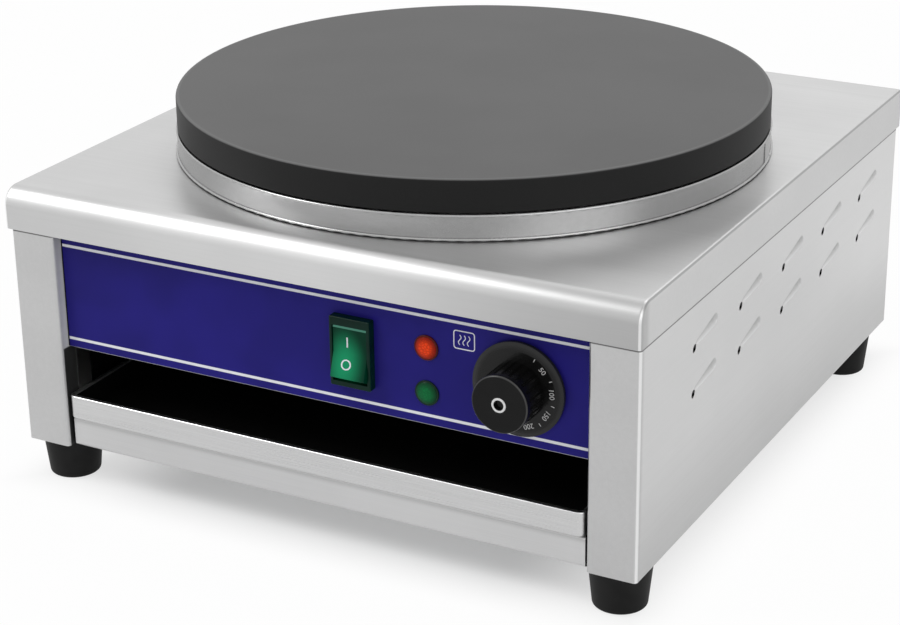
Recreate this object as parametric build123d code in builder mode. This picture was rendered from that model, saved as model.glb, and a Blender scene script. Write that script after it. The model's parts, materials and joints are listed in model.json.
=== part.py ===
from build123d import *
import os
from math import asin, cos, degrees, radians, sin

os.makedirs("parts", exist_ok=True)

# Single-plate electric crepe maker. X runs to the right, Y to the back, Z up.
# The origin is on the floor, under the middle of the whole object.

# ------------------------------------------------------------ housing
cover_width = 450.0
cover_depth = 462.0
housing_height = 179.0
foot_height = 28.0
sheet = 1.0
fold = 2.5
cover_front_fold = 12.5
cover_edge_fold = 2.5
apron_drop = 27.5
cover_fit = 0.5
front_setback = 3.5
post_width = 33.0
post_return = 30.0
rear_flange = 20.0
top_flange = 15.0
bottom_flange = 40.0
flange_gap = 0.5
base_sheet = 1.2
base_clearance = 0.5

# ------------------------------------------------------------ griddle plate and what heats it
plate_radius = 200.0
plate_thickness = 21.5
plate_web = 11.0
plate_rim = 12.0
plate_chamfer = 1.5
plate_underside_round = 2.5
plate_front_margin = 26.0
plate_gap = 3.0
ring_overhang = 0.4
ring_rise = 15.0
ring_sheet = 1.0
ring_bead = 1.1
ring_foot_bead = 1.0
ring_foot_overhang = 0.3
ring_foot_gap = 0.3
ring_flange = 11.0
ring_fit = 0.5
seam_angle = -4.0
seam_arc = 5.0
seam_lap = 0.5
deck_drop = 4.0
pan_clearance = 1.0
pan_wall = 20.5
insulation_thickness = 13.0
element_radius = 4.0
element_contact_gap = 0.3
outer_element_inset = 54.0
inner_element_inset = 116.0
element_elbow = 0.2
element_gap_angle = 180.0
leg_half_spacing = 12.0
leg_drop = 16.0
hole_clearance = 1.0
stud_radius = 4.0
stud_inset = 85.0
stud_angle = 45.0
stud_fit = 0.05
stud_depth = 4.0
boss_radius = 9.0
boss_clearance = 0.2
nut_flats = 13.0
nut_height = 6.5
clip_width = 20.0
clip_thickness = 3.0
clip_reach = 40.0
bar_width = 30.0
bar_height = 18.0
bar_sheet = 1.5

# ------------------------------------------------------------ compartment, tray and rail
rail_height = 21.0
rail_recess = 4.5
rail_end_gap = 2.5
rail_flange = 14.0
tray_rail_gap = 0.6
tray_recess = 0.5
tray_side_gap = 1.6
tray_height = 16.5
tray_rear_space = 162.0
tray_corner = 6.0
tray_bottom_round = 1.5
tray_rim_width = 3.0
tray_rim_height = 1.5
tray_rim_round = 0.9
tray_hold = 80.0
tray_lug_width = 1.4
tray_lug_length = 3.0
tray_lug_height = 6.0
tray_lug_inset = 8.0
tray_lug_rise = 2.5
runner_lug_height = 7.0
lug_side_gap = 0.6
opening_height = 32.5
liner_sheet = 1.0
liner_set_back = 4.5
liner_lead = 18.0
liner_front_gap = 0.5
liner_rear_gap = 8.0
runner_sheet = 1.2
runner_reach = 9.25
runner_drop = 15.0
runner_gap = 0.3
stop_gap = 0.5
stop_height = 10.0

# ------------------------------------------------------------ control panel
panel_recess = 8.0
film = 0.4
film_edge = 0.4
film_lap = 6.0
fascia_flange = 10.5
switch_inset = 161.2
switch_rise = -1.25
bezel_width = 28.5
bezel_height = 46.0
bezel_proud = 6.0
bezel_lip = 1.0
switch_fit = 0.2
switch_body_depth = 26.0
rocker_width = 23.6
rocker_radius = 18.1
rocker_back = 2.0
rocker_edge = 0.8
rocker_drop = 1.0
rocker_side_gap = 0.4
rocker_end_gap = 0.4
rocker_sink = 1.0
rocker_swing = 18.0
rocker_hub_radius = 4.5
rocker_well = 13.0
pivot_depth = 7.0
pivot_radius = 1.5
pivot_length = 1.0
pivot_fit = 0.05
lamp_inset = 110.5
red_lamp_rise = 10.55
green_lamp_rise = -19.25
lamp_rim_radius = 8.2
lamp_rim = 1.0
lamp_rim_round = 0.4
lamp_barrel_radius = 6.2
lamp_barrel_depth = 22.0
lens_radius = 7.2
lens_rise = 1.6
lens_seat = 0.5
knob_inset = 47.5
knob_rise = -3.05
skirt_radius = 30.2
skirt_lift = 1.0
skirt_thickness = 4.0
skirt_bevel = 1.6
skirt_bevel_width = 5.0
hub_radius = 11.0
cap_radius = 18.4
cap_reach = 28.0
cap_edge = 1.6
cap_flute_count = 24
cap_flute_radius = 0.9
cap_flute_front = 4.0
marker_radius = 4.6
marker_bore = 2.9
marker_proud = 0.4
marker_depth = 1.6
shaft_radius = 3.0
shaft_fit = 0.05
shaft_seat = 0.02
shaft_reach = 20.0
shaft_inside = 12.0
shaft_end_gap = 0.5
thermostat_width = 42.0
thermostat_height = 34.0
thermostat_depth = 24.0
thermostat_plate = 1.5
thermostat_plate_reach = 8.0
bushing_radius = 5.0
capillary_radius = 0.8
capillary_bend = 12.0
capillary_run_drop = 6.0
bulb_radius = 3.0
bulb_length = 60.0
bulb_offset = 30.0
bulb_clip_length = 12.0
bulb_clip_wall = 1.5
bulb_clip_width = 18.0

# ------------------------------------------------------------ side vents and louvres
vent_columns = 5
vent_pitch = 74.5
vent_front_margin = 80.0
vent_low_rise = 91.0
vent_high_rise = 121.0
vent_mouth_length = 5.6
vent_mouth_width = 3.8
vent_mouth_tilt = 50.0
vent_tail_length = 32.0
vent_tail_rise = 4.5
vent_tail_lead = 3.0
vent_tail_lift = 2.6
vent_pad = 1.0
vent_pad_radius = 5.0
vent_small_radius = 1.6
vent_large_radius = 5.5
vent_small_depth = 1.1
vent_large_depth = 1.6
louvre_width = 5.0
louvre_length = 60.0
louvre_pitch = 14.0
louvre_count = 12
louvre_rise = 95.0
base_slot_count = 9
base_slot_pitch = 28.0
base_slot_margin = 45.0

# ------------------------------------------------------------ feet, gland and fixings
foot_inset = 20.0
foot_front_inset = 25.5
foot_rear_inset = 41.0
foot_top_radius = 20.0
foot_bottom_radius = 17.0
foot_edge_round = 2.5
foot_bore = 7.0
foot_bore_depth = 15.0
foot_hole = 2.8
foot_screw_end = 2.0
gland_inset = 93.5
gland_rise = 40.0
gland_reach = 17.0
gland_thread_radius = 7.9
gland_fit = 0.1
gland_hex_flats = 22.0
gland_hex_height = 5.0
gland_nut_flats = 21.0
gland_inside = 11.0
gland_wall = 3.5
locknut_height = 4.0
seal_radius = 6.5
cable_radius = 4.9
seal_length = 10.0
nut_mouth_radius = 5.6
earth_inset = 43.5
earth_rise = 22.0
earth_radius = 2.5
earth_shank_radius = 3.0
earth_reach = 14.0
earth_flats = 10.0
earth_nut = 5.0
bolt_radius = 2.5
bolt_flats = 8.0
bolt_nut = 4.0
lug_thickness = 0.8
lug_radius = 5.0
screw_radius = 2.0
screw_head_radius = 3.8
screw_head = 2.2
screw_length = 8.0
screw_hole_gap = 0.2
recess_width = 0.9
cover_screw_spacing = 150.0
rear_screw_margin = 20.0
rear_screw_drop = 12.0
fascia_screw_margin = 12.0
base_screw_inset = 14.0
base_screw_ahead = 60.0
base_screw_behind = 90.0
recess_depth = 1.0
terminal_width = 52.0
terminal_depth = 24.0
pole_screw_offset = 6.0
terminal_height = 20.0
terminal_pole_pitch = 15.0
terminal_entry = 2.6
terminal_rear_gap = 50.0
terminal_offset = 40.0
terminal_peg_inset = 4.0
blade_width = 6.3
blade_thickness = 0.8
blade_length = 9.0
switch_blade_side = 6.0
switch_blade_rise = 10.0
thermostat_blade_side = 12.0
thermostat_blade_rise = 8.0
wire_radius = 1.4
wire_bend = 9.0
wire_gap = 0.2
wire_entry = 6.0
wire_stand_off = 36.0

# ------------------------------------------------------------ places that follow from the sizes
knob_overhang = cap_reach + marker_proud - front_setback - panel_recess
overall_depth = knob_overhang + cover_depth + gland_reach
cover_front_y = knob_overhang - overall_depth / 2
cover_rear_y = cover_front_y + cover_depth
cover_middle_y = (cover_front_y + cover_rear_y) / 2
base_z = foot_height
cover_top_z = base_z + housing_height
apron_z = cover_top_z - apron_drop
cover_inside_z = cover_top_z - sheet

panel_x = cover_width / 2 - sheet - cover_fit
panel_top_z = cover_inside_z - cover_fit
panel_inside_x = panel_x - sheet
post_y = cover_front_y + front_setback
post_inner_x = panel_x - post_width
post_corner_cut = cover_front_fold - front_setback + cover_fit
switch_x = post_inner_x - switch_inset
lamp_x = post_inner_x - lamp_inset
knob_x = post_inner_x - knob_inset
gland_x = panel_x - gland_inset
earth_x = panel_x - earth_inset
rear_face_y = cover_rear_y - sheet - cover_fit
side_rear_y = rear_face_y - sheet

plate_y = cover_front_y + plate_front_margin + plate_radius
plate_axis = Axis((0, plate_y, 0), (0, 0, 1))
ring_top_z = cover_top_z + ring_rise
plate_bottom_z = ring_top_z + plate_gap
plate_top_z = plate_bottom_z + plate_thickness
web_z = plate_top_z - plate_web
recess_radius = plate_radius - plate_rim
ring_radius = plate_radius + ring_overhang
cover_hole_radius = ring_radius + seam_lap + ring_fit
deck_z = cover_top_z - deck_drop
ring_inner_radius = ring_radius - ring_flange
pan_radius = ring_inner_radius - pan_clearance
outer_element_radius = plate_radius - outer_element_inset
inner_element_radius = plate_radius - inner_element_inset
element_z = web_z - element_contact_gap - element_radius
clip_top_z = element_z - element_radius - element_contact_gap
boss_z = clip_top_z
leg_end_z = deck_z - leg_drop
stud_reach = plate_radius - stud_inset
stud_offset = stud_reach * cos(radians(stud_angle))
stud_spots = [(x, plate_y + y) for x in (-stud_offset, stud_offset) for y in (-stud_offset, stud_offset)]
element_radii = {"outer_element": outer_element_radius, "inner_element": inner_element_radius}
leg_reaches = [(radius**2 - leg_half_spacing**2) ** 0.5 for radius in element_radii.values()]
leg_spots = [(-reach, plate_y + y) for reach in leg_reaches for y in (-leg_half_spacing, leg_half_spacing)]
bar_z = deck_z - bar_height
bulb_y = plate_y + bulb_offset
bulb_z = web_z - bulb_radius
riser_x = -(bulb_length / 2 + 1.25 * capillary_bend)

rail_y = post_y + rail_recess
rail_top_z = base_z + rail_height
tray_z = rail_top_z + tray_rail_gap
tray_top_z = tray_z + tray_height
tray_depth = cover_depth - tray_rear_space
tray_y = post_y + tray_recess
tray_travel = tray_depth - tray_hold
tray_rear_y = tray_y + tray_depth
tray_half_width = post_inner_x - tray_side_gap
fascia_z = tray_top_z + opening_height
film_y = post_y + panel_recess
fascia_y = film_y + film
fascia_back_y = fascia_y + sheet
liner_y = post_y + post_return + liner_front_gap
liner_half_width = post_inner_x + liner_set_back
liner_rear_y = tray_rear_y + liner_rear_gap
liner_roof_z = fascia_z + sheet
base_floor_z = base_z + sheet
base_top_z = base_floor_z + base_sheet

# The switch, the lamps and the knob rise from the middle of the panel.
panel_middle_z = (fascia_z + apron_z) / 2
switch_z = panel_middle_z + switch_rise
bezel_y = film_y - bezel_proud
knob_z = panel_middle_z + knob_rise
lamps = {"red": panel_middle_z + red_lamp_rise, "green": panel_middle_z + green_lamp_rise}
cap_y = film_y - cap_reach
skirt_back_y = film_y - skirt_lift
skirt_front_y = skirt_back_y - skirt_thickness

foot_x = panel_x - foot_inset
foot_front_y = cover_front_y + foot_front_inset
foot_rear_y = cover_rear_y - foot_rear_inset
foot_spots = [(x, y) for y in (foot_front_y, foot_rear_y) for x in (-foot_x, foot_x)]


def front_plane(y):
    """Plane that faces the front at a given depth: its own x is X and its own y is Z."""
    return Plane.XZ.offset(-y)


def back_plane(y):
    """Plane that faces the back at a given depth: its own x is -X and its own y is Z."""
    return Plane(origin=(0, y, 0), x_dir=(-1, 0, 0), z_dir=(0, 1, 0))


def blade_spots(centre_x, centre_z, side, rise):
    """Centres of four flat blades: lower left, upper left, lower right, upper right."""
    return [(centre_x + x, centre_z + z) for x in (-side, side) for z in (-rise, rise)]


def plate_plane(angle=0.0):
    """Upright plane through the plate's axis: its own x is the radius and its own y is Z."""
    outwards = (cos(radians(angle)), sin(radians(angle)), 0)
    normal = (sin(radians(angle)), -cos(radians(angle)), 0)
    return Plane(origin=(0, plate_y, 0), x_dir=outwards, z_dir=normal)


def folded_sheet(plane, corners, length, thickness, radius, side=Side.RIGHT):
    """Sheet folded along a line of corners and drawn out along the plane's normal."""
    with BuildPart() as panel:
        with BuildSketch(plane):
            with BuildLine():
                FilletPolyline(*corners, radius=radius)
                offset(amount=thickness, side=side)
            make_face()
        extrude(amount=length)
    return panel.part


def screws(plane, spots, length=screw_length, radius=screw_radius, head_radius=screw_head_radius):
    """Cross-recess screws: the heads stand on the plane, the shanks go down through it."""
    with BuildPart() as group:
        with BuildSketch(plane):
            with Locations(*spots):
                Circle(head_radius)
        extrude(amount=screw_head)
        fillet(group.faces().filter_by(Axis(plane.origin, plane.z_dir)).group_by(
            Axis(plane.origin, plane.z_dir))[-1].edges(), screw_head / 3)
        with BuildSketch(plane):
            with Locations(*spots):
                Circle(radius)
        extrude(amount=-length)
        with BuildSketch(plane.offset(screw_head)):
            with Locations(*spots):
                Rectangle(head_radius, recess_width)
                Rectangle(recess_width, head_radius)
        extrude(amount=-recess_depth, mode=Mode.SUBTRACT)
    return group.part


def hex_nuts(plane, spots, flats, height, bore):
    """Hexagon nuts that stand on the plane."""
    with BuildPart() as group:
        with BuildSketch(plane):
            with Locations(*spots):
                RegularPolygon(flats / 2, 6, major_radius=False)
                Circle(bore, mode=Mode.SUBTRACT)
        extrude(amount=height)
    return group.part


def tube(corners, radius, bend):
    """Round wire or tube along straight runs joined by arcs."""
    with BuildPart() as run:
        with BuildLine() as route:
            FilletPolyline(*corners, radius=bend)
        with BuildSketch(Plane(origin=route.line @ 0, z_dir=route.line % 0)):
            Circle(radius)
        sweep()
    return run.part


# ============================================================ top cover
def cover_form(inset, drop):
    """Solid form of the cover, inset by a sheet's thickness and reaching down below its top."""
    top = cover_top_z - inset
    half = cover_width / 2 - inset
    with BuildPart() as form:
        with BuildSketch(Plane.XY.offset(top - drop)):
            with Locations((0, cover_middle_y)):
                Rectangle(2 * half, cover_depth - 2 * inset)
        extrude(amount=drop)
        front_edge = form.edges().filter_by(Axis.X).group_by(Axis.Z)[-1].sort_by(Axis.Y)[0]
        fillet(front_edge, cover_front_fold - inset)
        sides = form.faces().filter_by(Plane.YZ).edges()
        sides = sides.filter_by(lambda edge: edge.center().Z > top - drop + inset + sheet)
        rear_edge = form.edges().filter_by(Axis.X).group_by(Axis.Z)[-1].sort_by(Axis.Y)[-1]
        fillet(sides + [rear_edge], cover_edge_fold - inset)
    return form.part


with BuildPart() as top_cover:
    add(cover_form(0, apron_drop))
    add(cover_form(sheet, apron_drop), mode=Mode.SUBTRACT)
    with BuildSketch(Plane.XY.offset(cover_inside_z)):
        with Locations((0, plate_y)):
            Circle(cover_hole_radius)
    extrude(amount=sheet, mode=Mode.SUBTRACT)
    cover_screw_z = (apron_z + cover_top_z) / 2
    cover_screw_spots = [(x, cover_screw_z) for x in (-cover_screw_spacing, 0, cover_screw_spacing)]
    with BuildSketch(front_plane(cover_rear_y - sheet)):
        with Locations(*cover_screw_spots):
            Circle(screw_radius + screw_hole_gap)
    extrude(amount=-sheet, mode=Mode.SUBTRACT)
top_cover.part.label = "top_cover"
export_step(top_cover.part, "parts/top_cover.step")

# ============================================================ plate ring
foot_bead_z = cover_top_z + ring_foot_gap + ring_foot_bead
with BuildPart() as plate_ring:
    with BuildSketch(plate_plane()):
        with BuildLine():
            Polyline((ring_radius, deck_z), (ring_radius, ring_top_z), (ring_radius - ring_sheet, ring_top_z),
                     (ring_radius - ring_sheet, deck_z + ring_sheet), (ring_inner_radius, deck_z + ring_sheet),
                     (ring_inner_radius, deck_z), close=True)
        make_face()
        with Locations((ring_radius - ring_bead / 2, ring_top_z - ring_bead)):
            Circle(ring_bead)
        with Locations((ring_radius + ring_foot_overhang, foot_bead_z)):
            Circle(ring_foot_bead)
    revolve(axis=plate_axis)
    with BuildSketch(plate_plane(seam_angle)):
        with BuildLine():
            Polyline((ring_radius - ring_sheet / 2, foot_bead_z), (ring_radius + seam_lap, foot_bead_z),
                     (ring_radius + seam_lap, ring_top_z - ring_bead),
                     (ring_radius - ring_sheet / 2, ring_top_z - ring_bead), close=True)
        make_face()
    revolve(axis=plate_axis, revolution_arc=seam_arc)
plate_ring.part.label = "plate_ring"
export_step(plate_ring.part, "parts/plate_ring.step")

# ============================================================ griddle plate and its fixings
with BuildPart() as griddle_plate:
    with BuildSketch(plate_plane()):
        with BuildLine():
            Polyline((0, web_z), (recess_radius, web_z), (recess_radius, plate_bottom_z),
                     (plate_radius, plate_bottom_z), (plate_radius, plate_top_z), (0, plate_top_z), close=True)
        make_face()
    revolve(axis=plate_axis)
    rims = griddle_plate.edges().filter_by(GeomType.CIRCLE).filter_by(
        lambda edge: edge.radius > (recess_radius + plate_radius) / 2)
    chamfer(rims.sort_by(Axis.Z)[-1], plate_chamfer)
    rims = griddle_plate.edges().filter_by(GeomType.CIRCLE).filter_by(
        lambda edge: edge.radius > (recess_radius + plate_radius) / 2)
    fillet(rims.sort_by(Axis.Z)[0], plate_underside_round)
    with BuildSketch(Plane.XY.offset(boss_z)):
        with Locations(*stud_spots):
            Circle(boss_radius)
    extrude(amount=web_z - boss_z)
    with BuildSketch(Plane.XY.offset(boss_z)):
        with Locations(*stud_spots):
            Circle(stud_radius + stud_fit)
    extrude(amount=web_z - boss_z + stud_depth, mode=Mode.SUBTRACT)
griddle_plate.part.label = "griddle_plate"
export_step(griddle_plate.part, "parts/griddle_plate.step")

bar_nut_z = deck_z - bar_sheet - nut_height
with BuildPart() as plate_studs:
    with BuildSketch(Plane.XY.offset(bar_nut_z - stud_radius)):
        with Locations(*stud_spots):
            Circle(stud_radius)
    extrude(amount=web_z + stud_depth - boss_clearance - (bar_nut_z - stud_radius))
plate_studs.part.label = "plate_studs"
export_step(plate_studs.part, "parts/plate_studs.step")

pan_nut_z = deck_z + sheet
clip_nut_z = clip_top_z - clip_thickness - nut_height
with BuildPart() as stud_nuts:
    for nut_z in (bar_nut_z, pan_nut_z, clip_nut_z):
        add(hex_nuts(Plane.XY.offset(nut_z), stud_spots, nut_flats, nut_height, stud_radius + stud_fit))
stud_nuts.part.label = "stud_nuts"
export_step(stud_nuts.part, "parts/stud_nuts.step")

with BuildPart() as element_clips:
    with BuildSketch(Plane.XY.offset(clip_top_z - clip_thickness)):
        with Locations((0, plate_y)):
            with PolarLocations(stud_reach, len(stud_spots), start_angle=stud_angle):
                SlotOverall(2 * clip_reach, clip_width)
                Circle(stud_radius + stud_fit, mode=Mode.SUBTRACT)
    extrude(amount=clip_thickness)
element_clips.part.label = "element_clips"
export_step(element_clips.part, "parts/element_clips.step")

# ============================================================ heating elements
for element_name, ring in element_radii.items():
    half_gap = degrees(asin(leg_half_spacing / ring))
    with BuildPart() as element:
        with BuildSketch(plate_plane(element_gap_angle + half_gap)):
            with Locations((ring, element_z)):
                Circle(element_radius)
        revolve(axis=plate_axis, revolution_arc=360 - 2 * half_gap)
        leg_x = -ring * cos(radians(half_gap))
        for side in (-1, 1):
            with Locations((leg_x, plate_y + side * leg_half_spacing, element_z)):
                Sphere(element_radius + element_elbow)
                Cylinder(element_radius, element_z - leg_end_z, align=(Align.CENTER, Align.CENTER, Align.MAX))
    element.part.label = element_name
    export_step(element.part, f"parts/{element_name}.step")

# ============================================================ insulation
deck_holes = [(spot, stud_radius + hole_clearance) for spot in stud_spots]
deck_holes += [(spot, element_radius + hole_clearance) for spot in leg_spots]
deck_holes.append(((riser_x, bulb_y), capillary_radius + hole_clearance))

with BuildPart() as insulation_pan:
    with BuildSketch(plate_plane()):
        with BuildLine():
            Polyline((0, deck_z), (pan_radius, deck_z), (pan_radius, deck_z + pan_wall),
                     (pan_radius - sheet, deck_z + pan_wall), (pan_radius - sheet, deck_z + sheet),
                     (0, deck_z + sheet), close=True)
        make_face()
    revolve(axis=plate_axis)
    with BuildSketch(Plane.XY.offset(deck_z)):
        for spot, radius in deck_holes:
            with Locations(spot):
                Circle(radius)
    extrude(amount=sheet, mode=Mode.SUBTRACT)
insulation_pan.part.label = "insulation_pan"
export_step(insulation_pan.part, "parts/insulation_pan.step")

with BuildPart() as insulation_disc:
    with BuildSketch(Plane.XY.offset(deck_z + sheet)):
        with Locations((0, plate_y)):
            Circle(pan_radius - sheet - hole_clearance)
        with Locations(*stud_spots):
            Circle(nut_flats / 2 + 2 * hole_clearance, mode=Mode.SUBTRACT)
        for spot, radius in deck_holes[len(stud_spots):]:
            with Locations(spot):
                Circle(radius, mode=Mode.SUBTRACT)
    extrude(amount=insulation_thickness)
insulation_disc.part.label = "insulation_disc"
export_step(insulation_disc.part, "parts/insulation_disc.step")

# ============================================================ support bars under the pan
for bar_name, side in (("front_support_bar", -1), ("rear_support_bar", 1)):
    bar_y = plate_y + side * stud_offset
    channel = [(bar_y - bar_width / 2, bar_z), (bar_y - bar_width / 2, deck_z),
               (bar_y + bar_width / 2, deck_z), (bar_y + bar_width / 2, bar_z)]
    with BuildPart() as support_bar:
        add(folded_sheet(Plane.YZ.offset(-panel_inside_x), channel, 2 * panel_inside_x, bar_sheet, fold))
        for end_x in (-panel_inside_x, panel_inside_x - bar_sheet):
            with BuildSketch(Plane.YZ.offset(end_x)):
                with Locations((bar_y, bar_z)):
                    Rectangle(bar_width - 2 * bar_sheet, bar_height - bar_sheet,
                              align=(Align.CENTER, Align.MIN))
            extrude(amount=bar_sheet)
        with BuildSketch(Plane.XY.offset(deck_z - bar_sheet)):
            with Locations((-stud_offset, bar_y), (stud_offset, bar_y)):
                Circle(stud_radius + hole_clearance)
        extrude(amount=bar_sheet, mode=Mode.SUBTRACT)
    support_bar.part.label = bar_name
    export_step(support_bar.part, f"parts/{bar_name}.step")

# ============================================================ side panels, folded round into the front posts
rear_screw_spots = [(x, z) for x in (-panel_x + rear_flange / 2 + fold, panel_x - rear_flange / 2 - fold)
                    for z in (base_z + rear_screw_margin, (base_z + apron_z) / 2, apron_z - rear_screw_drop)]
fascia_screw_heights = [fascia_z + fascia_screw_margin, apron_z - fascia_screw_margin]
fascia_screw_y = fascia_back_y + fascia_flange / 2
base_screw_x = panel_inside_x - base_screw_inset
base_screw_spots = [(x, cover_middle_y + y) for x in (-base_screw_x, base_screw_x)
                    for y in (-base_screw_ahead, base_screw_behind)]
vent_spots = [(post_y + vent_front_margin + column * vent_pitch, base_z + rise)
              for column in range(vent_columns) for rise in (vent_low_rise, vent_high_rise)]
tail_run = vent_tail_length - vent_tail_lead
tail_reach = (tail_run**2 + vent_tail_rise**2) ** 0.5
tail_tilt = degrees(asin(vent_tail_rise / tail_reach))

with BuildPart() as left_side_panel:
    plan = [(-post_inner_x, post_y + post_return), (-post_inner_x, post_y), (-panel_x, post_y),
            (-panel_x, side_rear_y), (-panel_x + rear_flange, side_rear_y)]
    add(folded_sheet(Plane.XY.offset(base_z), plan, panel_top_z - base_z, sheet, fold))
    rail_rear_y = rail_y + rail_flange + flange_gap
    for flange_z, flange_width, front_y in ((base_z, panel_inside_x - post_inner_x - sheet, post_y + sheet),
                                            (base_z, bottom_flange, rail_rear_y),
                                            (cover_inside_z - sheet, top_flange, post_y + sheet)):
        with BuildSketch(Plane.XY.offset(flange_z)):
            with Locations((-panel_inside_x, front_y)):
                Rectangle(flange_width, side_rear_y - sheet - front_y, align=(Align.MIN, Align.MIN))
        extrude(amount=sheet)
    with BuildSketch(Plane.YZ.offset(-panel_x)):
        with BuildLine():
            Polyline((post_y, cover_inside_z - post_corner_cut), (post_y + post_corner_cut, cover_inside_z),
                     (post_y, cover_inside_z), close=True)
        make_face()
    extrude(amount=post_width + bottom_flange, mode=Mode.SUBTRACT)
    with BuildSketch(Plane.YZ.offset(-panel_inside_x)):
        with Locations(*[(y + vent_tail_lead + tail_run / 2, z + vent_tail_lift + vent_tail_rise / 2)
                         for y, z in vent_spots]):
            SlotCenterToCenter(tail_reach, 2 * vent_pad_radius, rotation=tail_tilt)
    extrude(amount=vent_pad)
    for vent_y, vent_z in vent_spots:
        tail_start = (vent_y + vent_tail_lead, vent_z + vent_tail_lift)
        tail_end = (tail_start[0] + tail_run, tail_start[1] + vent_tail_rise)
        end_x = -panel_x - vent_large_radius + vent_large_depth
        with BuildSketch(front_plane(tail_start[0])):
            with Locations((-panel_x - vent_small_radius + vent_small_depth, tail_start[1])):
                Circle(vent_small_radius)
        with BuildSketch(front_plane(tail_end[0])):
            with Locations((end_x, tail_end[1])):
                Circle(vent_large_radius)
        loft(mode=Mode.SUBTRACT)
        with Locations((end_x, *tail_end)):
            Sphere(vent_large_radius, mode=Mode.SUBTRACT)
    with BuildSketch(Plane.YZ.offset(-panel_x)):
        with Locations(*vent_spots):
            SlotOverall(vent_mouth_length, vent_mouth_width, rotation=vent_mouth_tilt)
    extrude(amount=sheet + vent_pad, mode=Mode.SUBTRACT)
    with BuildSketch(Plane.XY.offset(base_z)):
        with Locations(*[spot for spot in foot_spots if spot[0] < 0]):
            Circle(foot_hole)
        with Locations(*[spot for spot in base_screw_spots if spot[0] < 0]):
            Circle(screw_radius + screw_hole_gap)
    extrude(amount=sheet, mode=Mode.SUBTRACT)
    with BuildSketch(front_plane(side_rear_y - sheet)):
        with Locations(*[spot for spot in rear_screw_spots if spot[0] < 0]):
            Circle(screw_radius + screw_hole_gap)
    extrude(amount=-sheet, mode=Mode.SUBTRACT)
    with BuildSketch(Plane.YZ.offset(-post_inner_x - sheet)):
        with Locations(*[(fascia_screw_y, z) for z in fascia_screw_heights]):
            Circle(screw_radius + screw_hole_gap)
    extrude(amount=sheet, mode=Mode.SUBTRACT)
left_side_panel.part.label = "left_side_panel"
export_step(left_side_panel.part, "parts/left_side_panel.step")

with BuildPart() as right_side_panel:
    mirror(left_side_panel.part, about=Plane.YZ)
right_side_panel.part.label = "right_side_panel"
export_step(right_side_panel.part, "parts/right_side_panel.step")

# ============================================================ rear panel
gland_z = base_z + gland_rise
earth_z = base_z + earth_rise
with BuildPart() as rear_panel:
    with BuildSketch(front_plane(side_rear_y)):
        with Locations((0, base_z)):
            Rectangle(2 * (panel_x - fold), panel_top_z - base_z, align=(Align.CENTER, Align.MIN))
        with Locations((0, base_z + louvre_rise)):
            with GridLocations(louvre_pitch, 1, louvre_count, 1):
                SlotOverall(louvre_length, louvre_width, rotation=90, mode=Mode.SUBTRACT)
        with Locations(*rear_screw_spots):
            Circle(screw_radius + screw_hole_gap, mode=Mode.SUBTRACT)
        with Locations(*cover_screw_spots):
            Circle(screw_radius + screw_hole_gap, mode=Mode.SUBTRACT)
        with Locations((gland_x, gland_z)):
            Circle(gland_thread_radius + gland_fit, mode=Mode.SUBTRACT)
        with Locations((earth_x, earth_z)):
            Circle(earth_shank_radius + screw_hole_gap, mode=Mode.SUBTRACT)
    extrude(amount=-sheet)
rear_panel.part.label = "rear_panel"
export_step(rear_panel.part, "parts/rear_panel.step")

# ============================================================ base plate
terminal_y = rear_face_y - terminal_rear_gap
terminal_x = gland_x - terminal_offset
peg_x = terminal_width / 2 - terminal_peg_inset
terminal_spots = [(terminal_x - peg_x, terminal_y), (terminal_x + peg_x, terminal_y)]
base_half_width = panel_inside_x - base_clearance
base_front_y = rail_y + fold + base_clearance
base_rear_y = side_rear_y - sheet - 2 * base_clearance
with BuildPart() as base_plate:
    with BuildSketch(Plane.XY.offset(base_floor_z)):
        with Locations((0, base_front_y)):
            Rectangle(2 * base_half_width, base_rear_y - base_front_y, align=(Align.CENTER, Align.MIN))
        for side in (-1, 1):
            with Locations((side * (post_inner_x + sheet / 2), base_front_y)):
                Rectangle(sheet + 2 * base_clearance, liner_y - base_front_y,
                          align=(Align.CENTER, Align.MIN), mode=Mode.SUBTRACT)
        with Locations((0, liner_rear_y + (base_rear_y - liner_rear_y) / 2)):
            with GridLocations(base_slot_pitch, 1, base_slot_count, 1):
                SlotOverall(base_rear_y - liner_rear_y - 2 * base_slot_margin, louvre_width, rotation=90,
                            mode=Mode.SUBTRACT)
        with Locations(*foot_spots):
            Circle(foot_hole, mode=Mode.SUBTRACT)
        with Locations(*(base_screw_spots + terminal_spots)):
            Circle(screw_radius + screw_hole_gap, mode=Mode.SUBTRACT)
    extrude(amount=base_sheet)
base_plate.part.label = "base_plate"
export_step(base_plate.part, "parts/base_plate.step")

# ============================================================ front rail below the tray
rail_half_width = post_inner_x - rail_end_gap
rail_profile = [(rail_y + rail_flange, base_z), (rail_y, base_z), (rail_y, rail_top_z),
                (rail_y + rail_flange, rail_top_z)]
with BuildPart() as front_rail:
    add(folded_sheet(Plane.YZ.offset(-rail_half_width), rail_profile, 2 * rail_half_width, sheet, fold))
front_rail.part.label = "front_rail"
export_step(front_rail.part, "parts/front_rail.step")

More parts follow.
